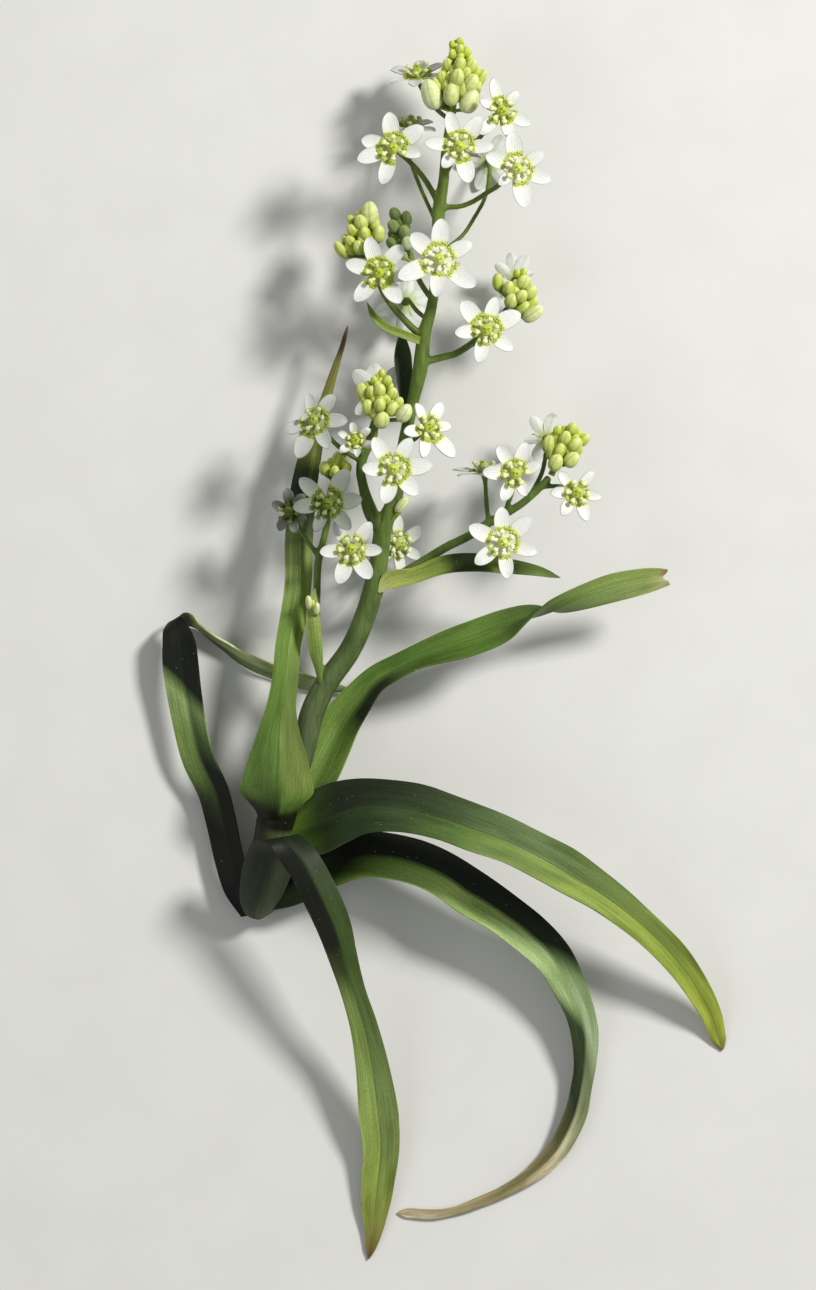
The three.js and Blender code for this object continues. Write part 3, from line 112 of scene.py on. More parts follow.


# Each flower: its age and its shade, which is how much a painted shadow darkens it, its centre, the
# way it faces and places along its pedicel. Then the tips of its six tepals, or the length and turn
# of a ring whose tips the photo doesn't show.
BLOOMS = [bloom_from(*group) for group in table("""
crown_middle: 0.2 0, -2 125 43, 0.05 0 1, -3 116 28, -2.6 121 34, -1.3 138, 8.5 130.5, 9.5 116.3,
 -2.8 113, -15 119, -11 133;
mid_right: 0.8 0, 13 102.5 38, 0.1 0.05 1, 6 96.7 27.7, 10 100 31, 5 111.5, 16 113, 24 108, 21.5 96,
 10.5 92, 3 101.5;
mid_left: 1 0.08, -21 120.5 39, -0.12 0.15 1, -17.5 111 29.4, -20 116 32.6, -24.5 132, -31.5 124,
 -28.5 111.5, -14 111, -10.8 119.6, -13.4 129.4;
upper_left: 0.85 0.05, -16.5 160.5 41, -0.05 0 1, -12 157 33.5, -15 159.4 35.5, -18 172, -7 167.5,
 -7.6 158.6, -20 149, -28 157, -26.6 163.5;
upper_middle: 0.7 0, 4.5 161 43, 0 0 1, 0 152 28.5, 2.6 157 34, 1 172, 11.5 170.5, 15.5 161, 8 149.5,
 -1 154.5, -6.5 162.5;
upper_right: 0.25 0, 23 154 40, 0.05 0 1, 19 150.5 33.2, 22 153 35.4, 21.5 166, 31.5 159, 34 150.5,
 25.5 141.5, 17 149, 13 158.5;
top_right: 0.9 0, 18 172.5 37, 0.12 0.05 1, 1 162.5 28, 9.5 163 29, 14 168 31, 15.5 183, 23.5 178.5,
 27.5 168.5, 21.5 163, 11.2 165, 11 176;
lower_middle: 0.6 0, -16.5 58 43, 0 0 1, -16 48 28, -16.4 54 35, -26.5 58, -23 68, -11 68, -4 59.5,
 -8.5 50, -19 47;
left_high: 0.7 0.4, -41.5 73.5 37, -0.28 0.22 1, -26.6 60.5 30.2, -33 64.5 31, -38.5 70 32, -51 70,
 -43.5 82, -35 81.5, -31 73.5, -37 64.5, -47 61.5;
left_low: 1 0.85, -37.5 47 42.6, -0.05 0 1, -37.9 40.5 31.3, -37.5 44.5 36, -46.5 55, -48.5 46,
 -41.5 38, -30 39, -26.5 48.5, -31 58;
left_edge: 1 0.9, -49 44.5 34.5, -0.45 0.1 1, -40.3 30 30.3, -44.5 36 31, -47.5 41.5 31, -54.8 47.5,
 -50 52, -44.5 50, -43.8 42, -47.3 37.6, -53 38.5;
low_left_of_stem: 0.75 0.1, -30 32.5 39.4, 0 0 1, -22.5 24 26.5, -27.5 29 32.6, -35.5 41, -40 31.5,
 -34 21.5, -24 23, -20.2 32, -23.5 41;
right_inner: 0.75 0, 22.5 56.5 41, 0 0.05 1, 19 43.8 31, 21.6 51.5 34.5, 17 65.5, 26 66.5, 30.5 59.5,
 26 49.5, 18 48, 12 57;
right_outer: 0.75 0, 42 50.5 36, 0.15 0.05 1, 30.5 52.5 32, 37 52.6 31.6, 40.2 51.4 31.6, 47 57.5,
 50 49.5, 45.5 41.5, 37 43.5, 33.5 50.5, 36.6 57.4;
right_low: 0.2 0, 18.5 34.5 43, 0 0 1, 9 37.6 30, 14.5 36.5 35, 18 46, 27.5 42.5, 29.5 31.5, 20 23,
 9.5 28, 7.5 39.5;
right_of_stem: 0.8 0, -5.8 71 36, 0.4 0.25 0.9, -13 66 28.5, -9.4 68 31, 1.5 72, 2.6 61.8, -7.6 61.6,
 -13.6 69.2, -9.5 79, -1.4 79;
small_cup: 0.9 0.1 3 2.2, -28.6 66.8 37, -0.05 0.25 1, -26 62.3 30.3, -27.8 64.6 32.5, 6 10;
facing_up_right: 0.8 0.3, 12.6 57 29, -0.1 1 0.22, 14 41 30.3, 13.3 47 29.5, 10.5 4;
top_left: 1 0.25, -8.6 184 21, -0.15 0.85 0.42, 1.9 169.5 27.6, -4 175 20, 10.2 12;
behind_upper_left: 1 0.45, -11.2 167.6 18.5, 0.05 0.9 0.3, -11.3 157.4 19.3, -11.4 162 17.8, 9 0;
behind_upper_right: 0.5 0.2, 14.2 157.2 4.7, 0.1 0.15 -1, 13.8 148.3 15.2, 14.4 154 11.4, 9.6 25;
behind_mid_left: 0.5 0.2, -12.5 112 12, -0.2 -0.25 -0.9, -5 105.5 27, -9 109 20.5, 10.5 10;
behind_mid_right: 0.5 0, 22.5 119 14, -0.15 0.5 -0.85, 15.5 104 26.5, 20.3 110.5 20, 16.3 123.6,
 21.4 127.2, 26.4 126.6, 28.6 120.6, 25.5 111.5, 18.5 112.5;
behind_left_head: 0.5 0.1, -21 82 16.8, -0.15 0.4 -0.9, -25.6 63.5 30, -23.6 71.5 26.4, -29.4 89.4,
 -23.2 92, -14.4 90.6, -10.4 84.4, -16 73, -28.5 75.5;
behind_stem: 0.5 0.15, -15.4 34 13.6, 0.5 0 0.86, -22 24 25.4, -21.4 24.6 16, -19 29.6 9.6, 9.6 2;
behind_right_head: 0.5 0, 32.5 68 18, -0.15 0.5 -0.85, 27 49.3 31.5, 31 57 27, 32.3 63 22.5, 28 74.4,
 35 75.8, 25.5 67, 41.5 69.5, 29 60.5, 37.5 60.5
""").items()]

# Each bud head: x, y, z and radius of its axis, then place, radius and half length of each bud, and
# how ripe it looks where that isn't plain from its size.
BUD_HEADS = table("""
buds_top: 2.2 171.9 28 1.3, 3.4 184 28.5 1, 4.7 194.5 28.5 0.7, 4.7 195 28.5 1.2 1.5,
 2.3 194 29 1.1 1.4, 4.8 192.3 31 1.5 1.9, 2.5 190.8 30.6 1.4 1.8, 7 191.3 29.5 1.5 1.9,
 1 187.4 30.4 1.8 2.3, 4.8 187.6 33 2 2.5, 8.2 187 31 2 2.6, -0.8 183.2 31 1.8 2.5, 4 183.4 34.2 2.3 3,
 8.4 181.4 33.2 2.5 3.4, 11.2 183 28 1.8 3.6, 2 177.8 34.2 2.6 3.8, 7.9 175.8 32.8 3.1 4.2,
 -4.3 178 31.5 3.3 5.2, 3.2 190 25.6 1.5 2, 7 186.5 25 1.9 2.5, 1.6 183.4 25.4 1.8 2.5,
 6 180.6 23.6 2.4 3.2, 0.6 176.6 23.8 2.4 3.4;
buds_mid_left: -22.6 122.9 29 1, -26.2 138.5 30 0.8, -24 140 31.5 2.8 3.9, -26.8 137 33 2.2 2.7,
 -30 138 30.5 1.3 1.6, -29.6 134.5 32.2 1.8 2.2, -25.6 133.4 34.2 1.9 2.3, -21.3 133.4 32 2.2 3,
 -30.2 131 32.8 1.7 2.1, -27.4 129 34.6 2 2.5, -33 128.3 31 2 3.4, -24 135 26.8 2 2.6,
 -28 131.6 27 2.1 2.7;
buds_dark: -9.2 120.3 21 1, -14.3 138.5 19 0.8, -16 140 20 1.9 2.3, -12.3 138.6 20.8 1.8 2.5,
 -16.4 136 21.4 2 2.4, -13 134.2 22.6 2 2.4, -17 130.6 21 1.8 2.2, -12 130.6 23.4 2 2.4 0.75,
 -14.6 127.6 22.6 2 2.4 0.4, -13.8 133 16 2 2.5;
buds_mid_right: 20 110.2 27 1, 23.2 120 27.5 0.8, 17 118 28.4 1.9 3, 20.4 116 31.2 2 2.5,
 21.2 112 31.4 2.2 2.6, 25 118 30.6 2.2 2.6, 27.2 114.8 29.2 2.2 2.6, 25 121 29 1.3 1.7,
 23 120.8 30 1.2 1.5, 24.4 113.4 32.2 2 2.4, 28.2 107.9 29 2.3 3.9 0.85, 22 114.5 23.6 1.9 2.4;
buds_left: -22.7 68.4 31.8 1.1, -20.2 87 34.6 0.8, -20.2 88.4 35.4 1.4 1.8, -22.6 86.4 37.2 1.3 1.6,
 -18.5 86.2 37 1.6 2, -20.8 83.2 39 2 2.4, -26.4 82.8 35.6 2 3, -23.6 82.6 37.8 1.7 2.3,
 -17 82.3 37.6 1.8 2.2, -20.8 78.6 40 2 2.4, -24.6 77.8 37.6 2 2.8, -16.8 77.4 38 2.2 2.6,
 -20.2 73.8 39 2.5 2.9, -13 76 39.5 2.4 3.4 0.9, -18.4 80 31.4 1.9 2.5, -23 77 31.6 2 2.6;
buds_small_left: -36.1 49.8 30.3 0.9, -34 60 31.4 0.7, -34.4 61.4 32 1.8 2.5, -31.6 58.4 32.4 1.7 2.1,
 -32.8 62.6 29.2 1.3 1.7, -38.4 58.4 31.2 1.9 2.4, -35.2 57.4 34.4 1.6 2, -35.4 58 28 1.6 2.1;
bract_buds: -41.4 4 27 0.7, -41.8 11 31.4 0.6, -43.4 15.4 32.6 1.2 2.6 0.95, -41 13.6 34.4 1.1 2.4 0.95;
bud_by_stem: -17.4 41.4 28.6 0.8, -14.6 44.6 30.4 0.8, -13.9 46.8 30.6 1.6 3.3 0.85;
buds_right: 33.9 56.2 32.8 1.1, 41 70.6 33.6 0.8, 33.2 66 33.4 2.2 3, 36.6 64 36.2 1.9 2.6,
 38.4 68 35.6 2 2.5, 40.6 71 34 1.8 2.2, 41.6 66 35.8 2.2 2.6, 44.2 67.5 33 1.8 2.5,
 40.4 61.2 35.6 2.4 2.9, 35.4 60.2 37 2.4 3, 36 70.2 33 1.5 2, 38 65.4 29.6 2 2.6, 35.6 61 28.8 2 2.6
""")
SHADED_HEAD = "buds_dark"
ADDED_HEAD = "bract_buds"

# x, y, z and radius along the neck of leaf sheaths, from its cut foot.
NECK = numbers("""
-62.2 -84.6 5.2 3.4, -61 -82.4 5.8 5.2, -59.4 -79 6.7 6.7, -57.6 -73 7.7 7.7, -56 -66 9.8 6.9,
 -55 -60 12.6 6.3, -54 -54 14.8 6.5, -51.6 -47.6 17.4 5.6, -49 -42 19.4 4.2
""")

# Each blade from its foot: x, y, z, width, roll in degrees and cup, and the direction across it
# where it isn't level.
LEAVES = table("""
leaf_left_folded: -63.2 -85 5.6 4.6 30 0.25, -65.3 -77 7 10.4 32 0.25, -68.9 -66 7.6 11 32 0.2,
 -71.3 -55 8 11.3 32 0.18, -74 -45 8.6 11.6 32 0.15, -78.5 -35 9.4 12 32 0.15,
 -81.2 -25 10 11.8 30 0.15, -83.2 -15 10.6 12.2 26 0.12, -84.6 -5 11 12.2 20 0.1,
 -85.3 2 10.8 11 12 0.06, -86.2 6.6 9.6 8.8 0 0 0.95 0.3 0, -86.4 10.2 7.6 6.4 0 0 0.8 0.6 0.1,
 -83.4 10 5.4 6 0 0.05 0.35 0.6 0.72, -80 7.7 4.4 6.6 0 0.1 0.16 0.22 0.96,
 -75 4 4 7 0 0.1 0.16 0.24 0.95, -70 0.9 4 7 0 0.1 0.24 0.34 0.9, -65 -2.5 4 7 0 0.1 0.28 0.46 0.82,
 -60 -4.9 4 7 0 0.1 0.3 0.56 0.76, -55.3 -6.7 3.8 6.8 0 0.1 0.3 0.6 0.74,
 -46.5 -9.6 3.6 6.2 0 0.1 0.2 0.75 0.6, -39 -11.3 3.2 4.2 0 0.1 0.1 0.85 0.45,
 -30.5 -12.6 3 1.3 0 0.1 0.1 0.9 0.4;
leaf_upright: -54.4 -57.6 15 9 0 -0.3, -54.2 -52.6 23 13.4 0 -0.34, -54.1 -49.4 25.6 18.4 0 -0.32,
 -54 -46 26.8 23.6 0 -0.34, -53.8 -41.6 27.6 22 0 -0.36, -53.4 -35 28.2 18.8 0 -0.38,
 -53.2 -27 28.4 14 0 -0.4, -52.4 -18 28.2 9.4 0 -0.42, -51 -8 27.6 8.2 0 -0.4, -50.2 2 26.8 8 0 -0.38,
 -48.3 12 25.6 8.4 0 -0.36, -47 22 24.2 8.4 0 -0.36, -46.8 35 22.4 8.8 0 -0.34,
 -45.5 50 20.8 8.4 0 -0.32, -43.3 62 19.8 7.2 0 -0.3, -39.3 77 19 3.9 0 -0.25, -36 88 18.6 2.4 0 -0.2,
 -33.1 97 18.4 1.6 0 -0.1, -31.2 104.2 18.2 1.1 0 0;
leaf_right_twisted: -50 -54 12.8 10 0 0.3, -46 -47 13.6 13 4 0.34, -40.4 -38 15.4 14.6 10 0.36,
 -36.2 -30 16.8 14.2 16 0.36, -32.4 -22.8 18 13.4 22 0.34, -27.2 -15.8 19.4 12 30 0.3,
 -21.7 -9.6 20.8 10.4 38 0.28, -15 -5.8 22 10.4 42 0.28, -7.5 -2.2 23.2 10.4 40 0.25,
 1.8 1.2 24.6 11.4 30 0.22, 10 4.1 25.6 12 26 0.2, 18.7 7.5 26.4 11.8 32 0.2, 25 10.2 27 10.6 54 0.3,
 30.5 11.4 27.4 9.8 80 0.5, 36 13.4 27.8 9.6 118 0.3, 44.5 16.7 28.2 9.6 142 0.14,
 54.5 20.1 28.6 9.8 156 0.16, 63.5 22.2 28.9 8.6 162 0.14, 68 23.1 29 7.2 162 0.1,
 71.6 23.6 29 5.2 162 0.05;
leaf_long_arching: -54 -61 13 10 24 0.3, -50.6 -59.6 16 13.4 22 0.28, -46 -58 18.4 18 18 0.26,
 -40 -55.2 22 21 18 0.24, -33 -52 26.6 20.6 18 0.22, -25 -50 30.4 18.6 18 0.2, -12 -50.6 35.4 17 20 0.2,
 0 -53.6 38 16 20 0.2, 9.5 -57 38.8 16 20 0.2, 20 -60.8 38.2 15 20 0.2, 29.5 -65.6 36.6 14.8 20 0.2,
 39 -70.9 34.2 14.6 20 0.2, 49 -77 30.6 12.8 18 0.2, 59.4 -84.8 25.8 11 16 0.2,
 68.2 -92.6 20.4 10 14 0.18, 75.5 -100.6 14.8 9.2 10 0.16, 81 -108.2 9.8 8.2 6 0.12,
 85.5 -116.4 5.2 6.6 2 0.08, 87.6 -123.4 2.2 5.2 0 0.04, 89.2 -128.2 0.8 3 0 0;
leaf_curled_dry_end: -56.5 -78 7.6 11 10 0.2, -50 -75.6 9.6 13.4 14 0.2, -42 -71.8 11.8 14.6 18 0.2,
 -34 -68 13.8 15 20 0.2, -25 -65.6 15.6 15.6 20 0.2, -12 -67.4 17 15.4 20 0.22, -1 -72 17.4 15 20 0.24,
 7.5 -77.6 17 15.8 20 0.24, 17.5 -83.9 15.6 14.6 20 0.24, 27 -91 13.8 14.2 20 0.24,
 34.5 -98.8 12 12.8 20 0.22, 39.2 -107 10.2 11.4 18 0.2, 43 -115.6 8.8 9.8 16 0.2,
 44.9 -124 7.4 9 14 0.2, 44.9 -133 6 7.4 12 0.2, 43.6 -141 5 6.8 10 0.18, 42 -148.4 4.4 7.2 8 0.18,
 39.2 -155.2 3.8 7 6 0.18, 35.8 -160.8 3.2 6.6 4 0.18, 31.2 -165.6 2.8 5.8 2 0.16,
 25.5 -170 2.4 4.4 0 0.14, 18.5 -173.9 2 3.6 0 0.12, 10.5 -177.3 1.6 3 0 0.1, 3 -180 1.2 2.6 0 0.08,
 -4 -181.1 0.9 3.1 0 0.06, -11 -180.7 0.7 3 0 0.04, -15.2 -180.6 0.6 2.4 0 0;
leaf_front_hanging: -61.2 -85.8 9.4 6 0 0.5 -1 0.15 0, -60.6 -83.2 12.4 10.8 0 0.55 -1 0.15 0,
 -57.9 -74.4 19.4 15.2 0 0.55 -1 0.12 0, -55 -63.6 26.8 14 0 0.1 -1 0.1 0,
 -51.8 -59.8 35.4 11.2 0 -0.1 -1 -0.05 0, -46 -66.8 38.4 11 0 -0.4 -0.85 -0.5 0,
 -41 -75.8 37.8 11.6 0 -0.4 -0.88 -0.45 0, -35.6 -87.8 34.8 11 0 -0.36 -0.92 -0.38 0,
 -32.6 -98 30.8 9.2 0 -0.3 -0.94 -0.34 0, -29.4 -109 26 8 0 -0.15 -0.94 -0.34 0,
 -25.8 -121 20.6 9 0 0 -0.97 -0.22 0, -23 -135 14.8 11 0 0.1 -1 -0.1 0,
 -21.2 -149 9.6 12.6 0 0.14 -1 -0.04 0, -20.4 -160 6.4 11.6 0 0.14 -1 0.02 0,
 -21.4 -170 4.2 10.6 0 0.14 -1 0.08 0, -22.3 -178 2.8 9.4 0 0.12 -1 0.1 0,
 -23 -187 1.6 5.6 0 0.08 -1 0.12 0, -24.6 -195.4 0.7 1.4 0 0 -1 0.16 0
""")
NOTCHED_LEAF = "leaf_right_twisted"

BRACTS = table("""
bract_lower_left: -39.6 -10.6 26 0.8 0 -0.1, -40.1 -7.6 27.2 1.8 0 -0.3, -40.5 -4.8 28.2 2.8 0 -0.3,
 -41.3 0 29.9 4.2 0 -0.3, -42 6 31.2 4.6 0 -0.3, -42.3 12 32.4 4 0 -0.25, -41.6 20 33.4 1 0 0;
bract_right: -21.2 18.8 28.8 0.8 0 0.1, -18 22.4 29.6 5.4 0 0.3, -10 24 31 5 10 0.35,
 0 27.4 33 6 16 0.4, 10 28 34.4 6 18 0.4, 20 27 35 5 16 0.35, 30 25.5 34.6 3.2 10 0.2,
 36.8 23.4 33.4 0.9 0 0;
bract_mid_left: -6.5 98.6 29 2.2 0 0.2, -13 101.2 31.4 2.6 0 0.25, -18.5 103.4 32.4 2.6 0 0.25,
 -22.4 106.6 32.8 2.2 0 0.2, -25 111.4 33 0.9 0 0;
bract_behind: -10.6 76 27 3 10 0.2, -12 81 24.6 4.6 10 0.25, -12.9 88 22.8 5.2 10 0.25,
 -13.5 95 20.8 5.4 10 0.2, -14 103 18 1 0 0
""")


def looks(slot, shape, left, right=None):
    """Slot, shape numbers and colour ramps of a blade, with painted shade in them, which may have one ramp for
    both halves.
    """
    keys = ("split", "soft", "shadow_edge_slant", "rib", "crease", "ripple", "dry", "dried", "sheath")
    return {**dict(zip(keys, numbers(shape)[0])), "slot": slot, "ramps": (left, right or left)}


# Slot, then where the halves meet across the blade, how softly, by how many rows the painted
# shadow edge between them slants, how dark the rib is, how sharp the fold, how waved the edge, how
# dry the margin, where the dried end starts and where the sheath ends. Then the colours of the left
# and the right half at the blade's rows, looking from its foot to its tip. Besides the leaves' own
# greens and dry browns, these colours hold painted shade and painted light: the near-black half of
# the folded leaf that is turned from the light, the dark strip that the arching leaf casts on the
# curled one, the flowers' shadows across the upright leaf, the dark gap at the top of the neck and
# brighter sunlit bands.
BRACT_SHAPE = "0.5 0.5 0 0.4 0.1 0.05 0 1 0"
LOOKS = {
    "leaf_left_folded": looks("dark_leaf", "0.53 0.12 1.4 0.3 0.05 0.2 0.2 1 0.02",
        """0 #0d0f0a, 2.5 #12150d, 3.5 #3a4926, 4.4 #748c4a, 5.4 #8ba75c, 6.9 #bcd394, 7.15 #8fa763, 7.55 #1b2015,
 11 #15190f, 13 #20281a, 14.4 #4a5a32, 16 #84985c, 18 #90a868, 19 #b4c690, 21 #8aa060""",
        """0 #0b0d08, 3 #12160d, 5 #1a2212, 6 #5a7040, 6.9 #849a62, 7.5 #171b11, 11.6 #14180f, 12.4 #2a341e,
 13.2 #b4c888, 14 #7d9450, 15 #c8d8a0, 17 #d6e4ae, 18 #9cb070, 19 #c8d69c, 21 #9cb070"""),
    "leaf_upright": looks("leaf", "0.56 0.05 0 0.5 0.03 0.15 0.5 0.96 0.06",
        """0 #282b1c, 1.3 #2c301d, 2.2 #44582a, 3.2 #5e7a38, 5 #6c8c40, 8 #86a84e, 10 #94b45c, 11.2 #b4ca7c,
 12 #748c4c, 12.7 #28331d, 13.6 #2f3a20, 14.4 #84883e, 15.4 #8f8c46, 16.4 #857f42, 17 #5a4a2e,
 17.5 #453624, 18 #8f7850""",
        """0 #24281b, 0.9 #333d24, 1.5 #6a8242, 2.4 #688639, 4 #7a8e42, 6 #7f9146, 8 #70893e, 10 #98b252,
 11.5 #94ae58, 12.2 #4a5c2c, 13.6 #5a6c34, 14.4 #8f9444, 15.4 #96924a, 16.4 #8c8446, 17 #6b5a36,
 17.5 #4f3f2a, 18 #8f7850"""),
    "leaf_right_twisted": looks("pale_leaf", "0.6 0.25 0 0.25 0.1 0.2 0.35 1 0.05",
        """0 #9dbd70, 2 #98b965, 4 #7d9c48, 7 #62843a, 10 #6c8c3c, 12 #5c7438, 13.5 #4c6230, 15 #8ca85c,
 17 #acbe72, 18.3 #d2d896, 19 #dcdcac""",
        """0 #94b264, 2 #8fae58, 3.5 #7c9a48, 4.6 #242e19, 6.4 #26321b, 7.4 #587534, 10 #628638, 12 #566c34,
 13.5 #5a7334, 15 #84a04a, 17 #9cb258, 18.3 #b3be6e, 19 #b58468"""),
    "leaf_long_arching": looks("leaf", "0.5 0.12 0 0.8 0.08 0.5 0.55 0.97 0.05",
        """0 #6c9030, 2 #6c9030, 3 #425824, 4 #1f2a16, 5 #27331c, 6.2 #3c4a30, 7.5 #4c6038, 9 #647c44,
 10.5 #6f8650, 12 #748a48, 14 #86994a, 16 #a4b44c, 18 #bcc654, 19 #8f7a40""",
        """0 #628430, 2 #4c6a22, 3.2 #2f411c, 5 #33452a, 6.2 #50633c, 7.5 #5f7c3a, 9 #7c9644, 11 #90a64c,
 13 #9eb050, 15 #a3b44e, 17 #b4c04e, 18.4 #c0c65a, 19 #8f7a40"""),
    "leaf_curled_dry_end": looks("dark_leaf", "0.5 0.12 2.5 0.3 0.05 0.4 0.5 0.66 0.05",
        """0 #191d13, 4 #161b11, 7 #171d12, 9.1 #222e18, 10 #7f9a64, 11.5 #b0c69c, 12.5 #b4c6a0, 13.7 #74825c,
 15.4 #9aa47c, 17 #e0dcbc, 18.4 #dccba8, 19.4 #c4b892, 21 #a29a70, 22.4 #b0a680, 24 #e6dcc2, 25 #cdbfa0,
 26 #d8caae""",
        """0 #20281a, 3.4 #2c3a1e, 5 #7c9c4a, 7 #b8d47c, 9 #bcd68c, 10.5 #b0c88c, 12 #9cb27c, 13 #3a4a2a,
 16 #28331c, 18 #5c6040, 20 #988f68, 23 #b8ab84, 26 #cdbd9e"""),
    "leaf_front_hanging": looks("leaf", "0.5 0.06 0 0.6 0.06 0.2 0.75 0.9 0.2",
        """0 #4c5533, 1 #474f2f, 1.8 #2c3020, 3 #262a1a, 4.6 #202c14, 6 #35491d, 8 #465c28, 10 #6a7f48,
 11.3 #8a9f60, 13 #91a45c, 14.4 #97a650, 16 #9da04e, 17 #79593a""",
        """0 #3a4029, 1 #2f3424, 1.7 #1b1e14, 3 #191c13, 5 #1e2116, 7.6 #212517, 8.4 #4c5c34, 9.2 #869c58,
 10 #9cb468, 12 #a0b662, 14 #a6bb5c, 16 #a2a854, 17 #79593a"""),
    "bract_lower_left": looks("pale_leaf", BRACT_SHAPE, """0 #728c44, 3 #94ae58, 6 #b4c476"""),
    "bract_right": looks("leaf", BRACT_SHAPE,
        """0 #dde2a0, 1 #cdd680, 2 #b8c66a, 2.8 #8ba24a, 3.3 #3c4c20, 4.2 #445624, 4.7 #8ba246, 5.3 #465a26,
 6 #748c3c, 7 #647a34"""),
    "bract_mid_left": looks("leaf", BRACT_SHAPE, """0 #a2b45c, 2 #9db454, 4 #7e9646"""),
    "bract_behind": looks("dark_leaf", BRACT_SHAPE, """0 #52652c, 2 #35452a, 4 #3f5230"""),
    "neck_of_sheaths": looks("sheath", "0.32 0.1 0 0 0 0 0 1 0",
        """0 #23271a, 1.5 #303a22, 4.5 #2a2e1f, 5.1 #66734b, 5.5 #707c56, 5.85 #1f2117, 8 #17180f""",
        """0 #1c2015, 1 #39442a, 2 #2c3420, 3 #1f2217, 5.4 #2f3223, 5.9 #1f2117, 8 #17180f"""),
}


def hex_colour(code):
    """Linear colour of an sRGB hex value."""
    channels = [int(code[place:place + 2], 16) / 255 for place in (1, 3, 5)]
    linear = [c / 12.92 if c <= 0.04045 else ((c + 0.055) / 1.055) ** 2.4 for c in channels]
    return (*linear, 1.0)


# Sizes and colours that a user would change.

a_length = partial(bpy.props.FloatProperty, unit="LENGTH")
a_colour = partial(bpy.props.FloatVectorProperty, subtype="COLOR", size=4)


class LilySizes(bpy.types.PropertyGroup):
    leaf_thickness: a_length(name="Leaf thickness", description="Of a leaf blade", default=0.0006)
    tepal_thickness: a_length(name="Tepal thickness", description="Of a tepal", default=0.00038)
    bract_thickness: a_length(name="Bract thickness", description="Of a bract", default=0.0005)
    tepal_breadth: bpy.props.FloatProperty(
        name="Tepal breadth", description="Half breadth as a share of the length", default=0.222)
    stalk_voxel: a_length(
        name="Stalk voxel", description="Joins the stalk and its branches", default=0.00045)


class LilyColours(bpy.types.PropertyGroup):
    tepal: a_colour(name="Tepal", description="White of the tepals", default=hex_colour("#e7e9e5"))
    gland: a_colour(name="Gland", description="Green-yellow glands", default=hex_colour("#b4c240"))
    anther: a_colour(name="Anther", description="Pale yellow anthers", default=hex_colour("#ecebaa"))
    floor: a_colour(name="Floor", description="Pale grey floor", default=hex_colour("#d6d6d3"))


# Nodes of a material.

MIX = {"data_type": "RGBA"}
DARKEN = {"data_type": "RGBA", "blend_type": "MULTIPLY"}
MARK = {"out": "Fac", "attribute_type": "GEOMETRY"}


def set_inputs(node, inputs):
    """Gives each input its value, the colour of its hex code, or its link to another node's output."""
    for key, value in inputs.items():
        if isinstance(value, bpy.types.NodeSocket):
            node.id_data.links.new(value, node.inputs[key])
        else:
            node.inputs[key].default_value = hex_colour(value) if isinstance(value, str) else value


def add_node(tree, kind, *values, stops=(), out=None, **settings):
    """Adds a node with its settings and links, and gives back its named output or the first in use.

    Values go to the inputs in use, in turn, and capitals in settings mark inputs given by name.
    """
    node = tree.nodes.new("ShaderNode" + kind)
    named = {key: settings.pop(key) for key in list(settings) if key[0].isupper()}
    for key, value in settings.items():
        setattr(node, key, value)
    in_use = [place for place, socket in enumerate(node.inputs) if socket.enabled]
    set_inputs(node, {**dict(zip(in_use, values)), **named})
    if stops:
        elements = node.color_ramp.elements
        while len(elements) < len(stops):
            elements.new(1.0)
        for element, (place, code) in zip(elements, stops):
            element.position = place
            element.color = hex_colour(code)
    return node.outputs[out] if out else next((socket for socket in node.outputs if socket.enabled), None)


def new_material(name):
    """Empty material: itself, the way to add nodes to it, and its surface shader."""
    material = bpy.data.materials.new(name)
    material.use_nodes = True
    tree = material.node_tree
    tree.nodes.clear()
    surface = add_node(tree, "BsdfPrincipled")
    add_node(tree, "OutputMaterial", Surface=surface)
    return material, partial(add_node, tree), surface.node


def blade_axes(node):
    """Place on a blade from its own map: both numbers together, along it, and across it."""
    spread = node("UVMap", uv_map="UVMap")
    run = node("SeparateXYZ", spread, out="X")
    return spread, run, run.node.outputs["Y"]


def near_line(node, value, centre, width):
    """One on a line of a value, falling to nothing at its width."""
    gap = node("Math", value, centre, operation="SUBTRACT")
    gap = node("Math", gap, operation="ABSOLUTE")
    return node("MapRange", gap, 0.0, width, 1.0, 0.0)


def swing(node, value, rate, operation="SINE"):
    """Wave along a value, as fast as its rate says."""
    return node("Math", node("Math", value, rate, operation="MULTIPLY"), operation=operation)


def soft_patches(node, place, scale, detail):
    """Cloudy pattern of a size given per axis."""
    return node("TexNoise", Vector=node("Mapping", place, Scale=scale), Scale=1.0, Detail=detail)


def toned(node, colour, place, scale, dark, factor):
    """Colour made darker in soft patches, and the noise behind them."""
    grain = soft_patches(node, place, scale, 3.0)
    tone = node("ValToRGB", grain, stops=[(0.34, dark), (0.64, "#ffffff")])
    return node("Mix", factor, colour, tone, **DARKEN), grain


def with_painted_shadow(node, colour):
    """Colour darkened by a painted shadow, as much as the flower's shade mark says: it stands for the shade that
    falls on the flowers low among the leaves and behind the heads.
    """
    return node("Mix", node("Attribute", attribute_name="shade", **MARK), colour, "#727b6e", **DARKEN)
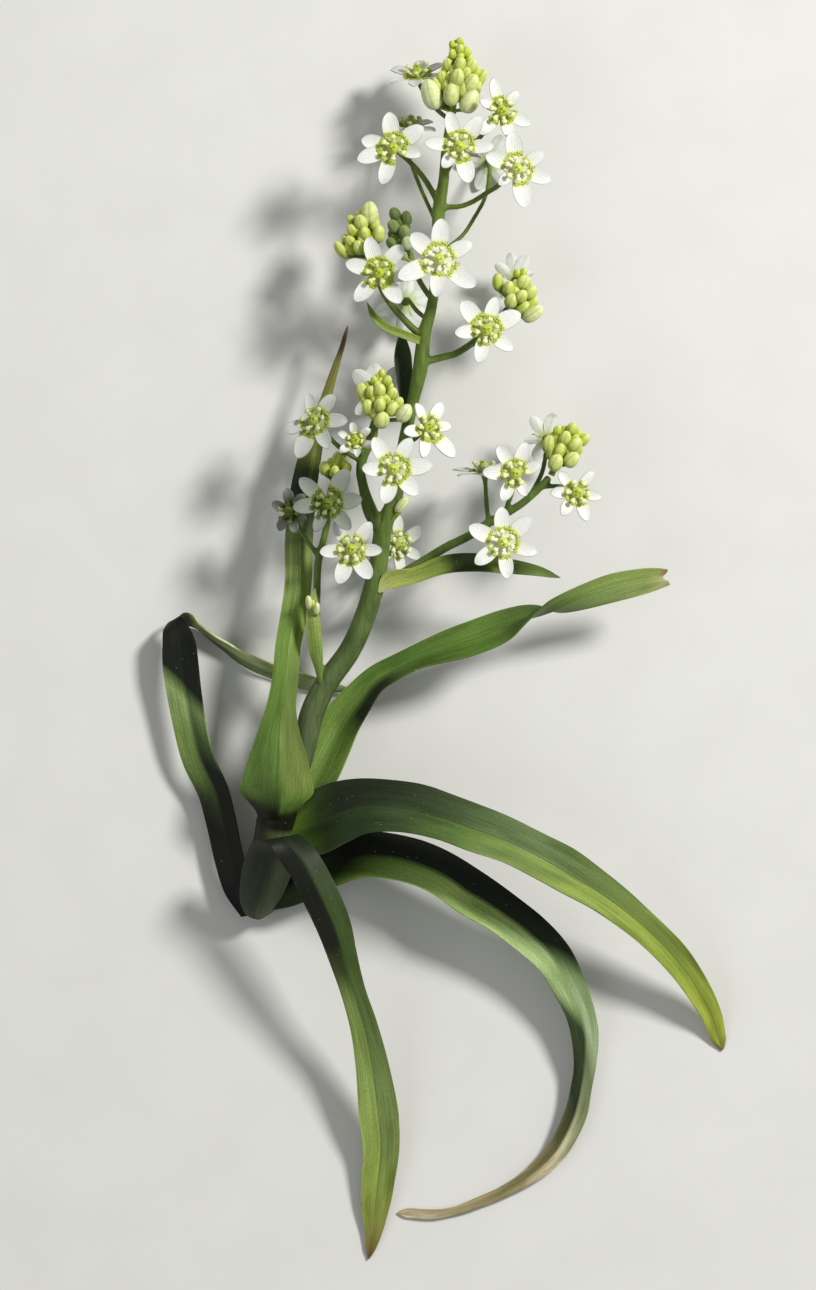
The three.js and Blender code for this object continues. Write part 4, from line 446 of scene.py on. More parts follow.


# Living leaf blade: thin cuticle over parallel veins, satin where the wax is thin. The veins are
# 1.1 mm apart, the streaks 20 mm long, the cloudy patches 7 mm wide and the grain 0.7 mm, which is
# what the eye takes for a lily leaf. Its two halves take painted shade: the half turned from the
# light is painted darker, with a noisy painted shadow edge between them. Its margin dries brown in
# patches of some 5 mm.
def leaf_material(name, look, last_row, length, width, under=False):
    material, node, shader = new_material(name)
    spread, run, side = blade_axes(node)
    slanted = node("Math", side, -0.5, operation="ADD")
    slanted = node("Math", slanted, look["shadow_edge_slant"] / last_row, run, operation="MULTIPLY_ADD")
    # Painted shade and painted light: each half of the blade takes its own ramp, the half turned from the light
    # and the cast shadows on it painted darker, the sunlit bands painted brighter.
    halves = []
    for ramp in look["ramps"]:
        stops = [(float(row) / last_row, code) for row, code in map(str.split, ramp.split(","))]
        halves.append(node("ValToRGB", slanted, stops=stops))
    # Painted shadow edge: noise bends the line where the two painted halves meet.
    shadow_edge_noise = soft_patches(node, spread, (length / 16, width / 12, 1), 2.0)
    shadow_edge_place = node("Math", shadow_edge_noise, 0.12, side, operation="MULTIPLY_ADD")
    seam = look["split"] - look["soft"] / 2 + 0.06
    turn = node("MapRange", shadow_edge_place, seam, seam + look["soft"])
    colour = node("Mix", turn, *halves, **MIX)
    if under:
        colour = node("Mix", 0.12, colour, "#9aa884", **MIX)
    colour, _ = toned(node, colour, spread, (length / 24, width / 7, 1), "#b0b694", 0.75)
    colour, streaks = toned(node, colour, spread, (length / 20, width / 0.9, 1), "#a9b295", 0.42)
    colour, _ = toned(node, colour, spread, (length / 0.7, width / 0.7, 1), "#b4bb9f", 0.4)
    wave = swing(node, side, 2 * math.pi * width / 1.1)
    faint = node("Math", wave, 0.05, 0.05, operation="MULTIPLY_ADD")
    colour = node("Mix", faint, colour, "#5f6d45", **DARKEN)
    free = node("MapRange", run, look["sheath"], look["sheath"] + 0.1)
    rib = node("Math", near_line(node, side, 0.5, 0.022), 0.2 if under else look["rib"], operation="MULTIPLY")
    rib = node("Math", rib, free, operation="MULTIPLY")
    colour = node("Mix", rib, colour, "#a7b67e" if under else "#2f3d1c", **MIX)
    cells = node("Mapping", spread, Scale=(length / 2.6, width / 2.4, 1))
    dots = node("TexVoronoi", Vector=cells, Scale=1.0, out="Distance")
    dust = node("MapRange", dots, 0.04, 0.06, 0.5, 0.0)
    dust = node("Math", dust, free, operation="MULTIPLY")
    colour = node("Mix", dust, colour, "#c9d2b0", **MIX)
    off_centre = near_line(node, side, 0.5, 0.5)
    rim = node("MapRange", off_centre, 0.0, 0.44 / width, 0.5, 0.0)
    rim = node("Math", rim, free, operation="MULTIPLY")
    paler = node("Mix", 1.0, colour, (2.0, 1.8, 1.6, 1.0), **DARKEN)
    colour = node("Mix", rim, colour, paler, **MIX)
    patches = soft_patches(node, spread, (length / 5, width / 3, 1), 4.0)
    patches = node("MapRange", patches, 0.5, 0.6)
    margin = node("MapRange", off_centre, 0.5 / width, 1.8 / width, look["dry"], 0.0)
    margin = node("Math", margin, node("MapRange", run, 0.3, 0.7), operation="MULTIPLY")
    dried = node("MapRange", run, look["dried"], look["dried"] + 0.06, 0.0, 0.38)
    dried = node("Math", dried, margin, operation="MAXIMUM")
    dried = node("Math", dried, patches, operation="MULTIPLY")
    height = node("Math", wave, 0.25, streaks, operation="MULTIPLY_ADD")
    set_inputs(shader, {
        "Base Color": node("Mix", dried, colour, "#85664c", **MIX),
        "Roughness": node("MapRange", streaks, 0.0, 1.0, 0.44, 0.62), "IOR": 1.42,
        "Specular IOR Level": 0.28, "Sheen Weight": 0.03 if under else 0.0,
        "Normal": node("Bump", Height=height, Distance=0.0001, Strength=0.5)})
    return material


# Flower stalk: smooth skin dusted with wax, dull and bluish low down and fresh green under the
# buds. The streaks are 1.1 mm wide and 6 mm long, the soft patches some 12 mm.
def stalk_material(name, low, middle, high):
    material, node, shader = new_material(name)
    place = node("TexCoord", out="Object")
    rise = node("MapRange", node("SeparateXYZ", place, out="Y"), -0.05, 0.19)
    colour = node("ValToRGB", rise, stops=[(0.0, low), (0.35, middle), (1.0, high)])
    colour, grain = toned(node, colour, place, (900, 160, 900), "#93a078", 0.4)
    colour, _ = toned(node, colour, place, (80, 80, 80), "#7c8860", 0.5)
    set_inputs(shader, {
        "Base Color": colour, "Roughness": 0.5, "IOR": 1.42, "Specular IOR Level": 0.3,
        "Normal": node("Bump", Height=grain, Distance=0.00015, Strength=0.4)})
    return material


# Tepal: thin white petal tissue with faint lengthwise veins. The gland near its foot is a
# green-yellow band with four teeth, and the foot is cream when fresh and greener with age. Its side
# margins are painted greyer as painted shade, and the shade mark darkens the whole tepal with a
# painted shadow.
def tepal_material(name, colours, under=False):
    material, node, shader = new_material(name)
    spread, rows, side = blade_axes(node)
    run = swing(node, rows, math.pi / 2)
    white = tuple(colours.tepal)
    if under:
        rib = node("Math", near_line(node, side, 0.5, 0.16), 0.45, operation="MULTIPLY")
        colour = node("Mix", rib, white, "#c6cfa6", **MIX)
        colour = node("Mix", near_line(node, run, 0.0, 0.4), colour, "#b3c46c", **MIX)
    else:
        halo = node("Math", near_line(node, run, 0.36, 0.22), 0.5, operation="MULTIPLY")
        colour = node("Mix", halo, white, "#e4eab4", **MIX)
        foot = node("Mix", node("Attribute", attribute_name="ageing", **MARK), "#f3f4d6", "#afc23a", **MIX)
        tooth = swing(node, side, 2 * math.pi * 4, "COSINE")
        edge = node("Math", tooth, -0.016, 0.4, operation="MULTIPLY_ADD")
        edge = node("Math", edge, run, operation="SUBTRACT")
        inside = node("MapRange", edge, 0.0, 0.04, 0.0, 0.9)
        band = node("MapRange", run, 0.22, 0.29, 0.0, 0.85)
        gland = node("Mix", band, foot, tuple(colours.gland), **MIX)
        colour = node("Mix", inside, colour, gland, **MIX)
    vein = swing(node, side, 2 * math.pi * 7)
    grain = node("TexNoise", Vector=spread, Scale=9.0, Detail=2.0)
    faint = node("Math", vein, 0.07, 0.07, operation="MULTIPLY_ADD")
    colour = node("Mix", faint, colour, "#9fa69a", **DARKEN)
    cloudy = node("MapRange", grain, 0.4, 0.7, 0.0, 0.16)
    colour = node("Mix", cloudy, colour, "#a9b0a6", **DARKEN)
    # Painted shade: the side margins of each tepal are painted greyer.
    rim = node("MapRange", near_line(node, side, 0.5, 0.5), 0.0, 0.12, 0.3, 0.0)
    colour = node("Mix", rim, colour, "#a3aa9a", **DARKEN)
    height = node("Math", vein, 0.4, grain, operation="MULTIPLY_ADD")
    set_inputs(shader, {
        "Base Color": with_painted_shadow(node, colour), "Roughness": 0.6, "IOR": 1.38, "Sheen Weight": 0.06,
        "Normal": node("Bump", Height=height, Distance=0.0001, Strength=0.5)})
    return material


# Small moist organs of the flower: paler when fresh, deeper with age, mottled over 0.7 mm, and
# darkened by a painted shadow as their flower's shade mark says.
def organ_material(name, fresh, aged, roughness):
    material, node, shader = new_material(name)
    colour = node("Mix", node("Attribute", attribute_name="ageing", **MARK), fresh, aged, **MIX)
    place = node("TexCoord", out="Object")
    colour, grain = toned(node, colour, place, (1400, 1400, 1400), "#b9c08c", 0.45)
    set_inputs(shader, {
        "Base Color": with_painted_shadow(node, colour), "Roughness": roughness, "IOR": 1.4,
        "Normal": node("Bump", Height=grain, Distance=0.0001, Strength=0.4)})
    return material


# Bud skin: six closed tepals, green at the foot and cream at the tip, the pale tip partly a painted
# highlight, with darker seams that are partly painted shade in the crevices. The biggest buds are
# the palest, which the attribute ripeness carries.
def bud_material(name, foot, middle, tip):
    material, node, shader = new_material(name)
    _, around, rise = blade_axes(node)
    # The cream tip colour is partly a painted highlight.
    colour = node("ValToRGB", rise, stops=[(0.1, foot), (0.5, middle), (0.95, tip)])
    ripe = node("Math", node("Attribute", attribute_name="ripeness", **MARK), 0.78, operation="MULTIPLY")
    colour = node("Mix", ripe, colour, "#e3e8bd", **MIX)
    # Partly painted shade: the seams are painted darker, as shade in the crevices between the closed tepals.
    seam = node("Math", around, 6.0, operation="MULTIPLY")
    seam = node("Math", seam, 1.0, operation="PINGPONG")
    seam = node("MapRange", seam, 0.8, 1.0, 0.0, 0.42)
    colour = node("Mix", seam, colour, "#7d9035", **DARKEN)
    place = node("TexCoord", out="Object")
    colour, grain = toned(node, colour, place, (700, 700, 700), "#b9c47e", 0.4)
    set_inputs(shader, {
        "Base Color": colour, "Roughness": 0.48, "IOR": 1.4, "Specular IOR Level": 0.3,
        "Normal": node("Bump", Height=grain, Distance=0.00012, Strength=0.4)})
    return material


# Photographer's floor: matt pale paper with a faint fibre grain of some 25 mm.
def floor_material(colours):
    material, node, shader = new_material("pale_paper_floor")
    place = node("TexCoord", out="Object")
    colour, _ = toned(node, tuple(colours.floor), place, (40, 40, 40), "#e8e8e6", 0.15)
    set_inputs(shader, {"Base Color": colour, "Roughness": 0.9})
    return material


# Curves through measured rows.

def unit(vectors):
    lengths = np.linalg.norm(vectors, axis=-1, keepdims=True)
    return vectors / np.maximum(lengths, 1e-9)


def path_through(rows, steps):
    """Smooth path through rows of numbers. The first three are a place, the rest change with it."""
    table = np.array(rows, float)
    table = np.vstack([2 * table[0] - table[1], table, 2 * table[-1] - table[-2]])
    gaps = np.linalg.norm(np.diff(table[:, :3], axis=0), axis=1) ** 0.5
    share = (np.arange(steps) / steps)[:, None]
    parts = []
    for row in range(1, len(table) - 2):
        before, here, there, after = table[row - 1:row + 3]
        gap_in, gap, gap_out = gaps[row - 1:row + 2]
        leaving = ((here - before) / gap_in - (there - before) / (gap_in + gap) + (there - here) / gap) * gap
        arriving = ((there - here) / gap - (after - here) / (gap + gap_out) + (after - there) / gap_out) * gap
        bend = 3 * (there - here) - 2 * leaving - arriving
        sway = 2 * (here - there) + leaving + arriving
        parts.append(here + leaving * share + bend * share ** 2 + sway * share ** 3)
    return np.vstack(parts + [table[-2:-1]])


def run_shares(path):
    """Share of the whole length at each point of a path, and that length."""
    lengths = np.linalg.norm(np.diff(path[:, :3], axis=0), axis=1)
    total = np.concatenate([[0.0], np.cumsum(lengths)])
    return total / total[-1], total[-1]


# Meshes.

def pick(*items):
    bpy.ops.object.select_all(action="DESELECT")
    for item in items:
        item.select_set(True)
    bpy.context.view_layer.objects.active = items[0]


def start(primitive, **settings):
    """A new object from one of Blender's own shapes."""
    bpy.ops.object.select_all(action="DESELECT")
    primitive(**settings)
    return bpy.context.object


def finish_modifier(item, kind, **settings):
    """Adds a modifier with its settings and applies it."""
    pick(item)
    modifier = item.modifiers.new(kind.lower(), kind)
    for key, value in settings.items():
        setattr(modifier, key, value)
    bpy.ops.object.modifier_apply(modifier=modifier.name)


def reshape(item, rule):
    """Moves each point of an object by a rule on all its places."""
    spots = np.zeros(len(item.data.vertices) * 3)
    item.data.vertices.foreach_get("co", spots)
    item.data.vertices.foreach_set("co", rule(spots.reshape(-1, 3)).ravel())
    item.data.update()


def sheet_from(name, surface):
    """A grid, moved point by point to a surface given as rows of places in millimetres."""
    rows, columns = surface.shape[0] - 1, surface.shape[1] - 1
    item = start(bpy.ops.mesh.primitive_grid_add, x_subdivisions=rows, y_subdivisions=columns, size=1.0)
    item.name = item.data.name = name

    def placed(spots):
        along, side = np.rint((spots[:, :2] + 0.5) * [rows, columns]).astype(int).T
        return surface[along, side] * MM

    reshape(item, placed)
    return item


def close_seams(item):
    """Merges what meets, closes open ends and turns the faces outward."""
    pick(item)
    bpy.ops.object.mode_set(mode="EDIT")
    bpy.ops.mesh.select_all(action="SELECT")
    bpy.ops.mesh.remove_doubles(threshold=1e-6)
    bpy.ops.mesh.select_all(action="DESELECT")
    bpy.ops.mesh.select_non_manifold()
    bpy.ops.mesh.edge_face_add()
    bpy.ops.mesh.select_all(action="SELECT")
    bpy.ops.mesh.normals_make_consistent(inside=False)
    bpy.ops.object.mode_set(mode="OBJECT")


def thicken(item, thickness):
    """Gives a sheet its wall, the far face in the item's second material."""
    finish_modifier(item, "SOLIDIFY", thickness=thickness, offset=0.0, use_rim=True,
                    material_offset=1, material_offset_rim=1)


def joined(name, items):
    """One object of several."""
    pick(*items)
    if len(items) > 1:
        bpy.ops.object.join()
    items[0].name = items[0].data.name = name
    return items[0]


def copy_of(item, name):
    """Own copy of an object and its mesh."""
    twin = item.copy()
    twin.data = item.data.copy()
    twin.name = name
    bpy.context.scene.collection.objects.link(twin)
    return twin


def drop(item):
    mesh = item.data
    bpy.data.objects.remove(item)
    bpy.data.meshes.remove(mesh)


def turned(item, centre, out, level, size):
    """Moves a unit shape, modelled with +Z out and +Y level, to its place in millimetres."""
    matrix = np.eye(4)
    matrix[:3] = np.column_stack([np.cross(level, out), level, out, centre]) * [*size, 1] * MM
    item.data.transform(Matrix(matrix.tolist()))


def tube(name, rows, resolution, steps, scale=MM):
    """Round tube through rows of x, y, z and radius in millimetres, made as a bevelled path."""
    item = start(bpy.ops.curve.primitive_nurbs_path_add)
    curve = item.data
    curve.splines.clear()
    spline = curve.splines.new("POLY")
    path = path_through(rows, steps) * MM
    spline.points.add(len(path) - 1)
    for spot, (x, y, z, radius) in zip(spline.points, path):
        spot.co = (x, y, z, 1.0)
        spot.radius = radius
    curve.bevel_depth = 1.0
    curve.bevel_resolution = resolution
    curve.use_fill_caps = True
    bpy.ops.object.convert(target="MESH")
    item = bpy.context.object
    item.name = name
    if scale != MM:
        item.data.transform(Matrix.Scale(scale / MM, 4))
    return item


def mark_points(item, **marks):
    """Gives every point of a mesh the same values under names that a material reads."""
    for name, value in marks.items():
        layer = item.data.attributes.new(name, "FLOAT", "POINT")
        layer.data.foreach_set("value", np.full(len(item.data.vertices), value, np.float32))


def dress(item, *materials):
    item.data.materials.clear()
    for material in materials:
        item.data.materials.append(material)


def put(piece, node=None, sharp=None):
    """Shades a finished piece smooth, all over or below a sharp angle, and settles it on the plant."""
    pick(piece)
    if sharp:
        bpy.ops.object.shade_smooth_by_angle(angle=math.radians(sharp))
    else:
        bpy.ops.object.shade_smooth()
    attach(piece, "root")
    if node:
        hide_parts(node)


# Leaves and bracts. Lengths are in millimetres.

SHARP = 50
TIP_LENGTH = 3.0
FOOT_LENGTH = 14.0
LEAST_HALF_WIDTH = 0.3
NOTCH_DEPTH = 1.9
NOTCH_LENGTH = 8.0
RIPPLE_LENGTHS = (9.0, 4.3, 8.0, 3.9)
SHORT_RIPPLE = 0.6
LEAF_STEPS = 7
LEAF_COLUMNS = 18
BRACT_COLUMNS = 10


def across_of(row, along):
    """Direction across a blade at a row, rolled from level by degrees or given outright."""
    if len(row) > 6:
        given = np.array(row[6:])
        return unit(given - along * given.dot(along))
    level = unit(np.cross(along, UP))
    roll = math.radians(row[4])
    return level * math.cos(roll) + np.cross(level, along) * math.sin(roll)


def blade_surface(name, rows, crease, ripple, columns):
    """Points of a blade's middle sheet, one row of points for each step along it."""
    tangents = unit(np.gradient(path_through([row[:3] for row in rows], LEAF_STEPS), axis=0))[::LEAF_STEPS]
    path = path_through([[*row[:4], row[5], *across_of(row, along)] for row, along in zip(rows, tangents)],
                        LEAF_STEPS)
    share, length = run_shares(path)
    along = unit(np.gradient(path[:, :3], axis=0))
    across = unit(path[:, 5:8] - along * (path[:, 5:8] * along).sum(1, keepdims=True))
    lift = np.cross(across, along)
    half = np.maximum(path[:, 3] / 2, LEAST_HALF_WIDTH)
    left = (1 - share) * length
    if name != NOTCHED_LEAF:
        half = half * np.sqrt(np.clip(left / TIP_LENGTH, 0.01, 1))
    side = np.linspace(-1, 1, columns + 1)
    round_foot = crease + 0.9 * np.exp(-(share * length / FOOT_LENGTH) ** 2)[:, None]
    depth = (np.sqrt(side ** 2 + round_foot ** 2) - round_foot) / (np.sqrt(1 + round_foot ** 2) - round_foot)
    draw = random.Random(sum(ord(letter) for letter in name))
    turns = [draw.uniform(0, 2 * math.pi) for _ in RIPPLE_LENGTHS]
    waves = [np.sin(share * length / wave + turn)[:, None] for wave, turn in zip(RIPPLE_LENGTHS, turns)]
    margins = [slow + SHORT_RIPPLE * fast for slow, fast in (waves[:2], waves[2:])]
    waved = np.where(side[None] > 0, *margins) * np.abs(side[None]) ** 3 * ripple
    rise = (path[:, 4] * half)[:, None] * depth + waved
    breadth = half[:, None] * side[None] * (1 + 0.12 * waved / half[:, None])
    surface = path[:, None, :3] + across[:, None] * breadth[..., None] + lift[:, None] * rise[..., None]
    if name == NOTCHED_LEAF:
        bite = NOTCH_DEPTH * np.exp(-((side - 0.1) / 0.45) ** 2) * np.clip(1 - left / NOTCH_LENGTH, 0, 1)[:, None]
        surface = surface - along[:, None] * bite[..., None]
    return surface, length, path[:, 3].max()


def build_blades(blades, columns, thickness):
    """Each leaf or bract with its upper and under side."""
    for name, rows in blades.items():
        look = LOOKS[name]
        surface, *spans = blade_surface(name, rows, look["crease"], look["ripple"], columns)
        piece = sheet_from(name + "_blade", surface)
        dress(piece,
              leaf_material(name + "_under_side", look, len(rows) - 1, *spans, under=True),
              leaf_material(name + "_upper_side", look, len(rows) - 1, *spans))
        thicken(piece, thickness)
        put(piece, name, SHARP)


class LeavesOperator(bpy.types.Operator):
    """Builds the six strap leaves"""
    bl_idname = "star_lily.leaves"
    bl_label = "Strap leaves"

    def execute(self, context):
        build_blades(LEAVES, LEAF_COLUMNS, context.scene.lily_sizes.leaf_thickness)
        return {"FINISHED"}


class BractsOperator(bpy.types.Operator):
    """Builds the four narrow bracts under the branches"""
    bl_idname = "star_lily.bracts"
    bl_label = "Bracts"

    def execute(self, context):
        build_blades(BRACTS, BRACT_COLUMNS, context.scene.lily_sizes.bract_thickness)
        return {"FINISHED"}


# Leaf-sheath neck.

NECK_AROUND = 72
NECK_STEPS = 8
NECK_GIRTH = 40
NECK_SHEATHS = 3
NECK_RIBS = 24
FLOOR_GAP = 0.02


def neck_surface():
    """Points round the neck: sheaths that wrap over each other, finely ribbed."""
    path = path_through(NECK, NECK_STEPS)
    share, length = run_shares(path)
    along = unit(np.gradient(path[:, :3], axis=0))
    across = unit(np.cross(along, UP))
    lift = np.cross(across, along)
    angle = np.linspace(0, 2 * math.pi, NECK_AROUND + 1)
    wrap = (angle[None] / (2 * math.pi) * NECK_SHEATHS + share[:, None] * 0.9) % 1.0
    layer = 0.93 + 0.07 * wrap ** 0.5
    ribs = 1 + 0.006 * np.sin(NECK_RIBS * angle)[None]
    radius = path[:, 3:4] * layer * ribs
    ring = across[:, None] * np.cos(angle)[None, :, None] + lift[:, None] * np.sin(angle)[None, :, None]
    surface = path[:, None, :3] + ring * radius[..., None]
    surface[..., 2] = np.maximum(surface[..., 2], FLOOR_GAP)
    return surface, length


class NeckOperator(bpy.types.Operator):
    """Builds the neck of rolled leaf bases"""
    bl_idname = "star_lily.neck"
    bl_label = "Leaf-sheath neck"

    def execute(self, context):
        surface, length = neck_surface()
        piece = sheet_from("neck_of_sheaths", surface)
        close_seams(piece)
        look = LOOKS["neck_of_sheaths"]
        dress(piece, leaf_material("wrapped_leaf_sheath", look, len(NECK) - 1, length, NECK_GIRTH))
        put(piece, "leaf_sheath_neck", SHARP)
        return {"FINISHED"}


# Flowers.

PEDICEL_RADIUS = 0.85
CUSHION = ((-2.8, PEDICEL_RADIUS), (-1.2, 1.2), (0.5, 1.3))
LENGTH_VARIATION = 0.06
TEPAL_ROWS = 14
TEPAL_COLUMNS = 10
TEPAL_FOOT = 1.35
WHORL_LIFT = (0.25, -0.1)
WART_RADIUS = 0.46
WART_LIFT = 0.2
WART_FLATNESS = 0.8
GLAND_SCALE = 12.0


def bloom_axes(bloom):
    """Centre of a flower, the direction out of its face, and two directions across it."""
    out = unit(bloom["faces"])
    helper = UP if abs(out[1]) > 0.9 else np.array([0.0, 1.0, 0.0])
    level = unit(helper - out * helper.dot(out))
    return bloom["centre"], out, level, np.cross(out, level)


def pedicel_rows(bloom):
    """Rows of the stalk that bears a flower, ending in the cushion under its tepals."""
    centre, out, _, _ = bloom_axes(bloom)
    rows = [[*row, PEDICEL_RADIUS] for row in bloom["route"]]
    return rows + [[*(centre + out * height), radius] for height, radius in CUSHION]


def tepal_spokes(bloom):
    """Angle and length of each tepal, in turn round the flower."""
    centre, out, level, side = bloom_axes(bloom)
    spokes = []
    for index in range(6):
        if len(bloom["tips"]) == 6:
            x, y = bloom["tips"][index]
            reach = np.array([x - centre[0], y - centre[1], 0.0])
            reach[2] = -(out[0] * reach[0] + out[1] * reach[1]) / out[2]
            spokes.append((math.atan2(reach.dot(side), reach.dot(level)), float(np.linalg.norm(reach))))
        else:
            radius, turn = bloom["tips"][0]
            angle = math.radians(index * 60 + turn)
            length = radius * (1 + LENGTH_VARIATION * math.sin(index * 2.4 + turn))
            spokes.append((math.atan2(math.sin(angle), math.cos(angle)), length))
    return sorted(spokes)


def hole_turn(spokes):
    """Mean turn of the notches between the tepals."""
    total = 0.0
    for index, (angle, _) in enumerate(spokes):
        following = spokes[(index + 1) % 6][0]
        step = (following - angle + 4 * math.pi) % (2 * math.pi)
        total += angle + step / 2 - index * math.pi / 3
    return total / 6


def tepals_of(bloom, run, side, breadth):
    """Places on the middle sheet of each tepal. run goes from its foot to its tip, side from -1 to 1."""
    centre, out, level, across = bloom_axes(bloom)
    draw = random.Random(bloom["name"])
    drawn = [[draw.uniform(0.9, 1.08), draw.uniform(-0.12, 0.25), math.radians(draw.uniform(-9, 9)),
              draw.uniform(-0.3, 0.3)] for _ in range(6)]
    tepals = []
    for index, ((angle, length), (width, tip, twist, sway)) in enumerate(zip(tepal_spokes(bloom), drawn)):
        half = length * breadth * width
        radius = TEPAL_FOOT + run * (length - TEPAL_FOOT)
        share = radius / length
        widening = 0.5 + 0.5 * np.sin(np.clip(run / 0.54, 0, 1) * math.pi / 2)
        closing = np.clip(1 - np.clip((run - 0.5) / 0.5, 0, 1) ** 2.5, 0, 1) ** 0.62
        wide = half * widening * np.maximum(closing, 0.02)
        cup = np.interp(share, [0.1, 0.28, 0.55, 0.84, 1.0], [0.12, -0.02, 0.6, 0.95, 0.78 + tip])
        rise = bloom["cup"] * cup + WHORL_LIFT[index % 2] * np.clip(run / 0.4, 0, 1)
        hollow = 0.45 * side ** 2 * np.clip(run / 0.3, 0, 1) * closing
        pad = 0.28 * np.exp(-((share - 0.38) / 0.09) ** 2) * np.exp(-((np.abs(side) - 0.4) / 0.4) ** 2)
        height = rise + hollow + side * wide * math.tan(twist) * run + pad
        offset = side * wide + sway * run ** 2
        ahead = level * math.cos(angle) + across * math.sin(angle)
        beside = across * math.cos(angle) - level * math.sin(angle)
        flat = ahead * radius[..., None] + beside * offset[..., None]
        tepals.append(centre + flat + out * height[..., None])
    return tepals


class StalkOperator(bpy.types.Operator):
    """Builds the stalk, its branches and the pedicels as one smooth body"""
    bl_idname = "star_lily.stalk"
    bl_label = "Flower stalk"

    def execute(self, context):
        axes = [MAIN_STEM, *BRANCHES.values(), *map(pedicel_rows, BLOOMS)]
        tubes = [tube("axis", rows, resolution=3, steps=5) for rows in axes]
        piece = joined("stalk_and_branches", tubes)
        finish_modifier(piece, "REMESH", mode="VOXEL", voxel_size=context.scene.lily_sizes.stalk_voxel)
        finish_modifier(piece, "SMOOTH", factor=0.5, iterations=4)
        dress(piece, stalk_material("waxy_flower_stalk", "#58644a", "#627836", "#6a7f2c"))
        put(piece, "flower_stalk")
        return {"FINISHED"}


class PerianthsOperator(bpy.types.Operator):
    """Builds the six tepals of every open flower"""
    bl_idname = "star_lily.perianths"
    bl_label = "White tepals"

    def execute(self, context):
        sizes = context.scene.lily_sizes
        colours = context.scene.lily_colours
        upper = tepal_material("white_tepal", colours)
        under = tepal_material("white_tepal_back", colours, under=True)
        steps = np.sin(np.linspace(0, math.pi / 2, TEPAL_ROWS + 1))
        run, side = np.meshgrid(steps, np.linspace(-1, 1, TEPAL_COLUMNS + 1), indexing="ij")
        for bloom in BLOOMS:
            sheets = [sheet_from("tepal", places) for places in tepals_of(bloom, run, side, sizes.tepal_breadth)]
            piece = joined("perianth_" + bloom["name"], sheets)
            mark_points(piece, ageing=bloom["age"], shade=bloom["shade"])
            dress(piece, upper, under)
            thicken(piece, sizes.tepal_thickness)
            put(piece, "tepals_" + bloom["name"], SHARP)
        return {"FINISHED"}


def wart_places(bloom, breadth):
    """Places of the warts that edge each gland: an outer row in two arcs and two inside."""
    side = np.array([-0.86, -0.62, -0.36, -0.1, 0.1, 0.36, 0.62, 0.86, -0.4, 0.4])
    reach = np.array([0.37, 0.4, 0.42, 0.39, 0.39, 0.42, 0.4, 0.37, 0.35, 0.35])
    run = (reach * GLAND_SCALE - TEPAL_FOOT) / (GLAND_SCALE - TEPAL_FOOT)
    return np.vstack(tepals_of(bloom, run, side, breadth))


def ovary_blank():
    """Ovary of three fused lobes, one unit to the millimetre, with three short styles."""
    body = start(bpy.ops.mesh.primitive_uv_sphere_add, segments=24, ring_count=14, radius=1.0)

    def lobed(spots):
        angle = np.arctan2(spots[:, 1], spots[:, 0])
        flat = np.hypot(spots[:, 0], spots[:, 1])
        lobes = 1 - 0.13 * (0.5 - 0.5 * np.cos(3 * angle)) ** 2
        narrow = 1 - 0.28 * np.clip(spots[:, 2], 0, 1)
        wide = 2.0 * flat * lobes * narrow
        return np.stack([wide * np.cos(angle), wide * np.sin(angle), 2.1 + 1.5 * spots[:, 2]], axis=1)

    reshape(body, lobed)
    parts = [body]
    for lobe in range(3):
        angle = lobe * 2 * math.pi / 3
        rows = [[r * math.cos(angle), r * math.sin(angle), z, thick]
                for r, z, thick in numbers("0.25 3.2 0.42, 0.5 3.8 0.3, 0.95 4.2 0.24")]
        parts.append(tube("style", rows, 1, 2, scale=1))
    return joined("ovary_blank", parts)


def filament_blank():
    """Filament that arches outward, one unit to the millimetre."""
    rows = numbers("0 1.15 0.5 0.62, 0 1.75 1.1 0.66, 0 2.5 1.9 0.5, 0 3.1 2.6 0.32, 0 3.4 3 0.2")
    filament = tube("filament_blank", rows, 1, 2, scale=1)
    reshape(filament, lambda spots: spots * [1.25, 1.0, 1.0])
    return filament


def anther_blank():
    """Anther of two lobes on the end of its filament."""
    anther = start(bpy.ops.mesh.primitive_uv_sphere_add, segments=8, ring_count=6, radius=1.0)

    def two_lobed(spots):
        pinch = 1 - 0.16 * np.exp(-(spots[:, 0] / 0.3) ** 2)
        return spots * np.stack([np.full(len(spots), 0.92), 0.84 * pinch, 0.62 * pinch], axis=1)

    reshape(anther, two_lobed)
    anther.data.transform(Matrix.Translation((0.0, 3.4, 3.15)))
    return anther


